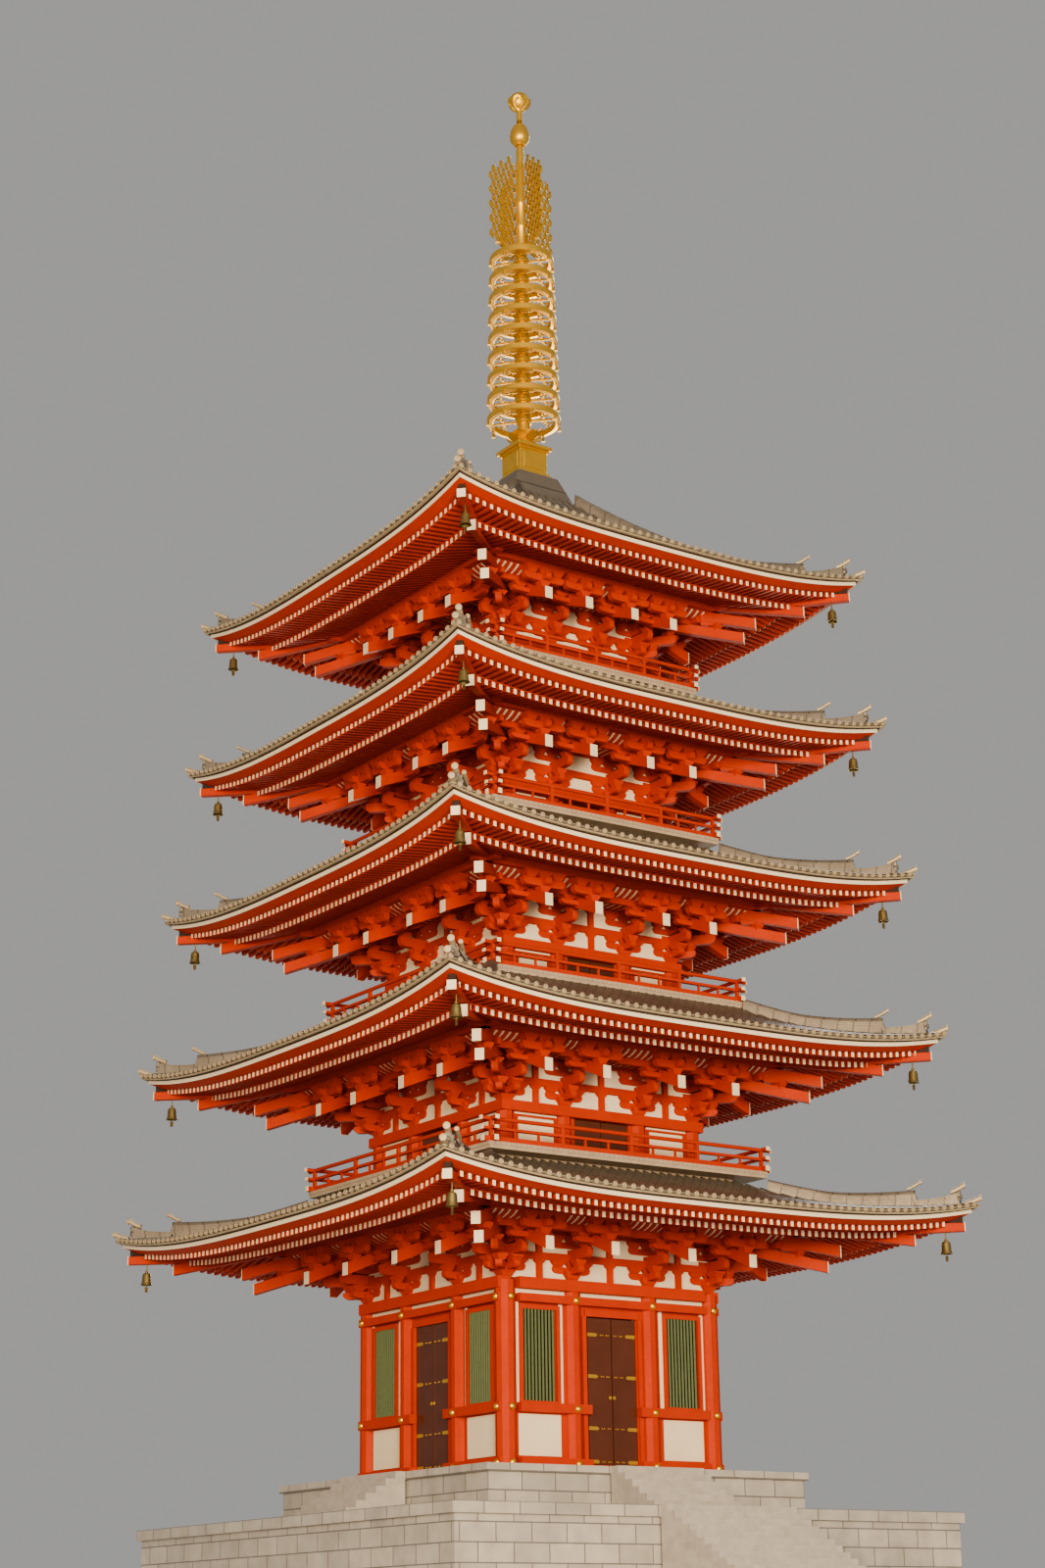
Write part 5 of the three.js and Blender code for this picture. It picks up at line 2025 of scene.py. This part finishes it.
    def _ring(self, radius: float, z: float) -> list[Piece]:
        """One ring with its hub, spokes, scrolls and bells.

        Args:
            radius: Its outer radius.
            z: Its top.

        Returns:
            Its parts.
        """
        inner = radius - 0.2
        section = [(inner, -0.2), (inner + 0.03, -0.215), (radius - 0.03, -0.2), (radius, -0.17),
                   (radius, -0.02), (radius - 0.02, 0), (inner + 0.06, 0), (inner, -0.03)]
        rim = Bench.smooth(Bench.spin(shift(section, 0, z), Paint.GILT, 48), 30)
        hub = Bench.spin(shift(self.HUB, 0, z), Paint.GILT, 24)
        side = [(0.24, -0.14), (inner + 0.03, -0.16), (inner + 0.03, -0.1), (0.24, -0.06)]
        spoke = Bench.plate(shift(side, 0, z), 0.05, Paint.GILT)
        scrolls = [Bench.move(scroll, z=z - 0.11) for scroll in self._scrolls(inner)]
        wheel = Bench.turn(Bench.four_sides(Bench.join([spoke, *scrolls])), 45)
        bells = []
        for k in range(8):
            turn = math.radians(22.5 + 45 * k)
            x, y = radius * math.cos(turn) * 0.985, radius * math.sin(turn) * 0.985
            bells.append(Bench.move(self._small_bell(), x, y, z - 0.19))
        return [rim, hub, wheel, Bench.join(bells)]

    def _rings(self) -> Piece:
        """Nine rings, smaller upwards, on one sleeve."""
        parts = [Bench.smooth(Bench.round_bar(0.21, (self.sleeve, self.low), Paint.GILT, 24), 40)]
        for i in range(9):
            parts += self._ring(self.widest - self.narrower * i / 8, self.first + self.pitch * i)
        return Bench.join(parts)

    def _tongues(self) -> list[Piece]:
        """The small curls that make up a blade of flame, in staggered rows under its crest."""
        crest, droop, reach, rows = self.high + 0.1, 0.66, 1.15, 12
        made = []
        for row in range(rows):
            z = self.low + 0.12 + row * (crest - self.low - 0.3) / (rows - 1)
            for k in range(5):
                u = 0.27 + 0.21 * (k + 0.5 * (row % 2))
                if u > reach or z > crest - droop * u * u:
                    continue
                size = 0.15 + 0.008 * k
                front = shift(crescent(-80, 160, size, 0.07), u - 0.02, z + 0.15)
                back = shift(crescent(100, 130, size * 0.8, 0.065), u + 0.19, z + 0.1)
                made += [Bench.plate(curl, 0.05, Paint.GILT) for curl in (front, back)]
        return made

    def _flame(self) -> Piece:
        """Four openwork blades of flame round a banded sleeve, with bells at their lower corners."""
        low, high = self.low, self.high
        taper = [(0.13, low + 0.05), (0.2, low + 0.05), (0.17, high + 0.05), (0.12, high + 0.05)]
        spine = Bench.plate(taper, 0.05, Paint.GILT)
        foot = Bench.plate(shift(self.FOOT, 0, low), 0.06, Paint.GILT)
        bell = self._small_bell()
        bell.data.transform(Matrix.Scale(1.35, 4))
        Bench.move(bell, 0, -0.96, low + 0.2)
        blades = Bench.four_sides(Bench.join([*self._tongues(), spine, foot, bell]))
        sleeve = [*shift(self.BANDS, 0, low), (0.14, high), (0.11, high + 0.1), (0.1, high + 0.1)]
        return Bench.join([blades, Bench.smooth(Bench.spin(sleeve, Paint.GILT, 24), 40)])

    def _egg(self) -> Piece:
        """The egg in its petals."""
        egg = Bench.smooth(Bench.spin(shift(self.EGG, 0, self.egg), Paint.GILT, 32), 50)
        petal = Bench.turn(Bench.plate(self.EGG_PETAL, 0.02, Paint.GILT, out=ALONG), -38, "X")
        return Bench.join([egg, Bench.around(Bench.move(petal, 0, -0.17, self.egg + 0.2), 8)])

    def _jewel(self) -> Piece:
        """The jewel in its petals."""
        low, radius = self.jewel + 0.4, self.ball
        turns = [math.radians(-90 + 15 * k) for k in range(2, 13)]
        centre = low + radius
        globe = [(max(0.0, radius * math.cos(turn)), centre + radius * math.sin(turn)) for turn in turns]
        stem = [(0, self.jewel - 0.18), (0.1, self.jewel - 0.18), (0.1, low + 0.01)]
        body = Bench.smooth(Bench.spin(stem + globe, Paint.GILT, 32), 50)
        petal = Bench.plate(self.JEWEL_PETAL, 0.03, Paint.GILT, out=ALONG)

        def hug(places: np.ndarray) -> np.ndarray:
            """Bends a flat petal round the jewel."""
            places[:, 1] -= 0.08 + 0.31 * np.sin(np.clip(places[:, 2] / 0.48, 0, 1) * math.pi * 0.56)
            return places

        return Bench.join([body, Bench.around(Bench.move(Bench.warp(petal, hug), z=low - 0.03), 8)])

    def build(self) -> None:
        """Builds the whole finial."""
        for piece, part, detail in (
                (self._basin(), "basin", "box"),
                (self._bowl(), "bowl", "petals"),
                (self._rings(), "rings", "openwork"),
                (self._flame(), "flame", "openwork"),
                (self._egg(), "egg", "petals"),
                (self._jewel(), "jewel", "petals")):
            Bench.keep(piece, f"finial_{part}_{detail}", Paint.GILT, f"finial_{part}")


@dataclass
class Studio:
    """The pale floor, the soft lights and the camera.

    The camera's place and focal length are those of the view of the real building, and its yaw,
    pitch and roll are in radians. The lights' places are in metres of the model.
    """

    focal_px: float = 2693.6
    image_px: tuple[int, int] = (1066, 1600)
    place: tuple[float, float, float] = (-45.965, -65.889, 1.256)
    yaw: float = 0.6065
    pitch: float = 0.3192
    roll: float = -0.0138
    sensor: float = 36
    far: float = 500
    floor_size: float = 90
    floor_z: float = -0.002
    floor_roughness: float = 0.9
    floor_color: Color = (0.62, 0.61, 0.59)
    sky_color: Color = (0.86, 0.85, 0.83)
    sky_strength: float = 0.38
    look: str = "AgX - Medium High Contrast"

    AIM = Vector((0, 0, 11))
    LAMPS = (
        ("key", (-24, -56, 9), 33000, 16, (1.0, 0.83, 0.62)),
        ("low", (-40, -36, 8), 17000, 14, (1.0, 0.77, 0.52)),
        ("back", (38, 44, 12), 21000, 18, (1.0, 0.88, 0.74)),
        ("rim", (30, 26, 40), 9000, 20, (0.9, 0.95, 1.0)),
    )

    def camera(self) -> None:
        """Stands the camera where the photograph was taken from."""
        level = math.cos(self.pitch)
        forward = Vector((math.sin(self.yaw) * level, math.cos(self.yaw) * level, math.sin(self.pitch)))
        right = Vector((math.cos(self.yaw), -math.sin(self.yaw), 0))
        up = right.cross(forward)
        across = right * math.cos(self.roll) + up * math.sin(self.roll)
        upward = up * math.cos(self.roll) - right * math.sin(self.roll)
        data = bpy.data.cameras.new("camera")
        data.sensor_fit = "VERTICAL"
        data.sensor_height = self.sensor
        data.lens = self.focal_px * self.sensor / self.image_px[1]
        data.clip_end = self.far
        camera = bpy.data.objects.new("camera", data)
        turn = Matrix((across, upward, -forward)).transposed().to_4x4()
        camera.matrix_world = Matrix.Translation(Vector(self.place) * MODEL_SCALE) @ turn
        bpy.context.scene.collection.objects.link(camera)
        bpy.context.scene.camera = camera

    def floor(self) -> None:
        """Lays the pale floor."""
        Bench.clear()
        bpy.ops.mesh.primitive_plane_add(size=self.floor_size, location=(0, 0, self.floor_z))
        floor = bpy.context.object
        floor.name = "studio_floor"
        material = bpy.data.materials.new("studio_floor")
        material.use_nodes = True
        shader = material.node_tree.nodes["Principled BSDF"]
        shader.inputs["Base Color"].default_value = (*self.floor_color, 1)
        shader.inputs["Roughness"].default_value = self.floor_roughness
        floor.data.materials.append(material)

    def lights(self) -> None:
        """Soft sky light and four broad lamps: two at the front left, one behind, one high up."""
        world = bpy.data.worlds.new("sky")
        bpy.context.scene.world = world
        world.use_nodes = True
        background = world.node_tree.nodes["Background"]
        background.inputs["Color"].default_value = (*self.sky_color, 1)
        background.inputs["Strength"].default_value = self.sky_strength
        bpy.context.scene.view_settings.look = self.look
        for name, place, energy, size, color in self.LAMPS:
            data = bpy.data.lights.new(name, "AREA")
            data.energy = energy
            data.size = size
            data.color = color
            lamp = bpy.data.objects.new(name, data)
            lamp.location = place
            lamp.rotation_euler = (self.AIM - Vector(place)).to_track_quat("-Z", "Y").to_euler()
            bpy.context.scene.collection.objects.link(lamp)


def solid_paint(name: str) -> Paint:
    """The finish of one of the solids.

    Args:
        name: The solid's name.

    Returns:
        Its finish.
    """
    if name in ("terrace", "podium"):
        return Paint.STONE
    if "stair" in name or "steps" in name:
        return Paint.STEP
    if "door" in name and "sill" not in name and "over" not in name:
        return Paint.DOOR
    if "finial" in name:
        return Paint.GILT
    return Paint.DECK if "floor" in name else Paint.VERMILION


def roof_of(storey: Storey) -> Roof:
    """A storey's roof, which ends under the next balcony's skirt or at the finial's base.

    Args:
        storey: The storey.

    Returns:
        Its roof.
    """
    above = BALCONIES.get(storey.number + 1)
    if above is None:
        return Roof(storey, FINIAL_BASE[0], FINIAL_BASE[0], FINIAL_BASE)
    half = above[0]
    return Roof(storey, half - SKIRT_INSET, half + 0.01)


def brackets_of(storey: Storey) -> Brackets:
    """A storey's brackets. The narrower a storey, the fewer struts it has."""
    middle = (storey.bay + storey.wall) / 2
    struts = {1: (-middle, 0, middle), 2: (-middle, 0, middle), 3: (0,)}
    return Brackets(storey, struts.get(storey.number, ()))


def main() -> None:
    """Builds the pieces in order."""
    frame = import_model()
    studio = Studio()
    studio.camera()
    studio.floor()
    studio.lights()
    PaintShop()
    for name, node in frame["nodes"].items():
        Bench.coat(node, solid_paint(name))
    for storey in STOREYS:
        Eaves(storey).build()
        roof_of(storey).build()
        brackets_of(storey).build()
    for number, (half, z) in BALCONIES.items():
        UpperStorey(STOREYS[number - 1], half, z).build()
    FirstStorey().build()
    Doors().build()
    Finial().build()
    LOG.info("done")


if __name__ == "__main__":
    main()
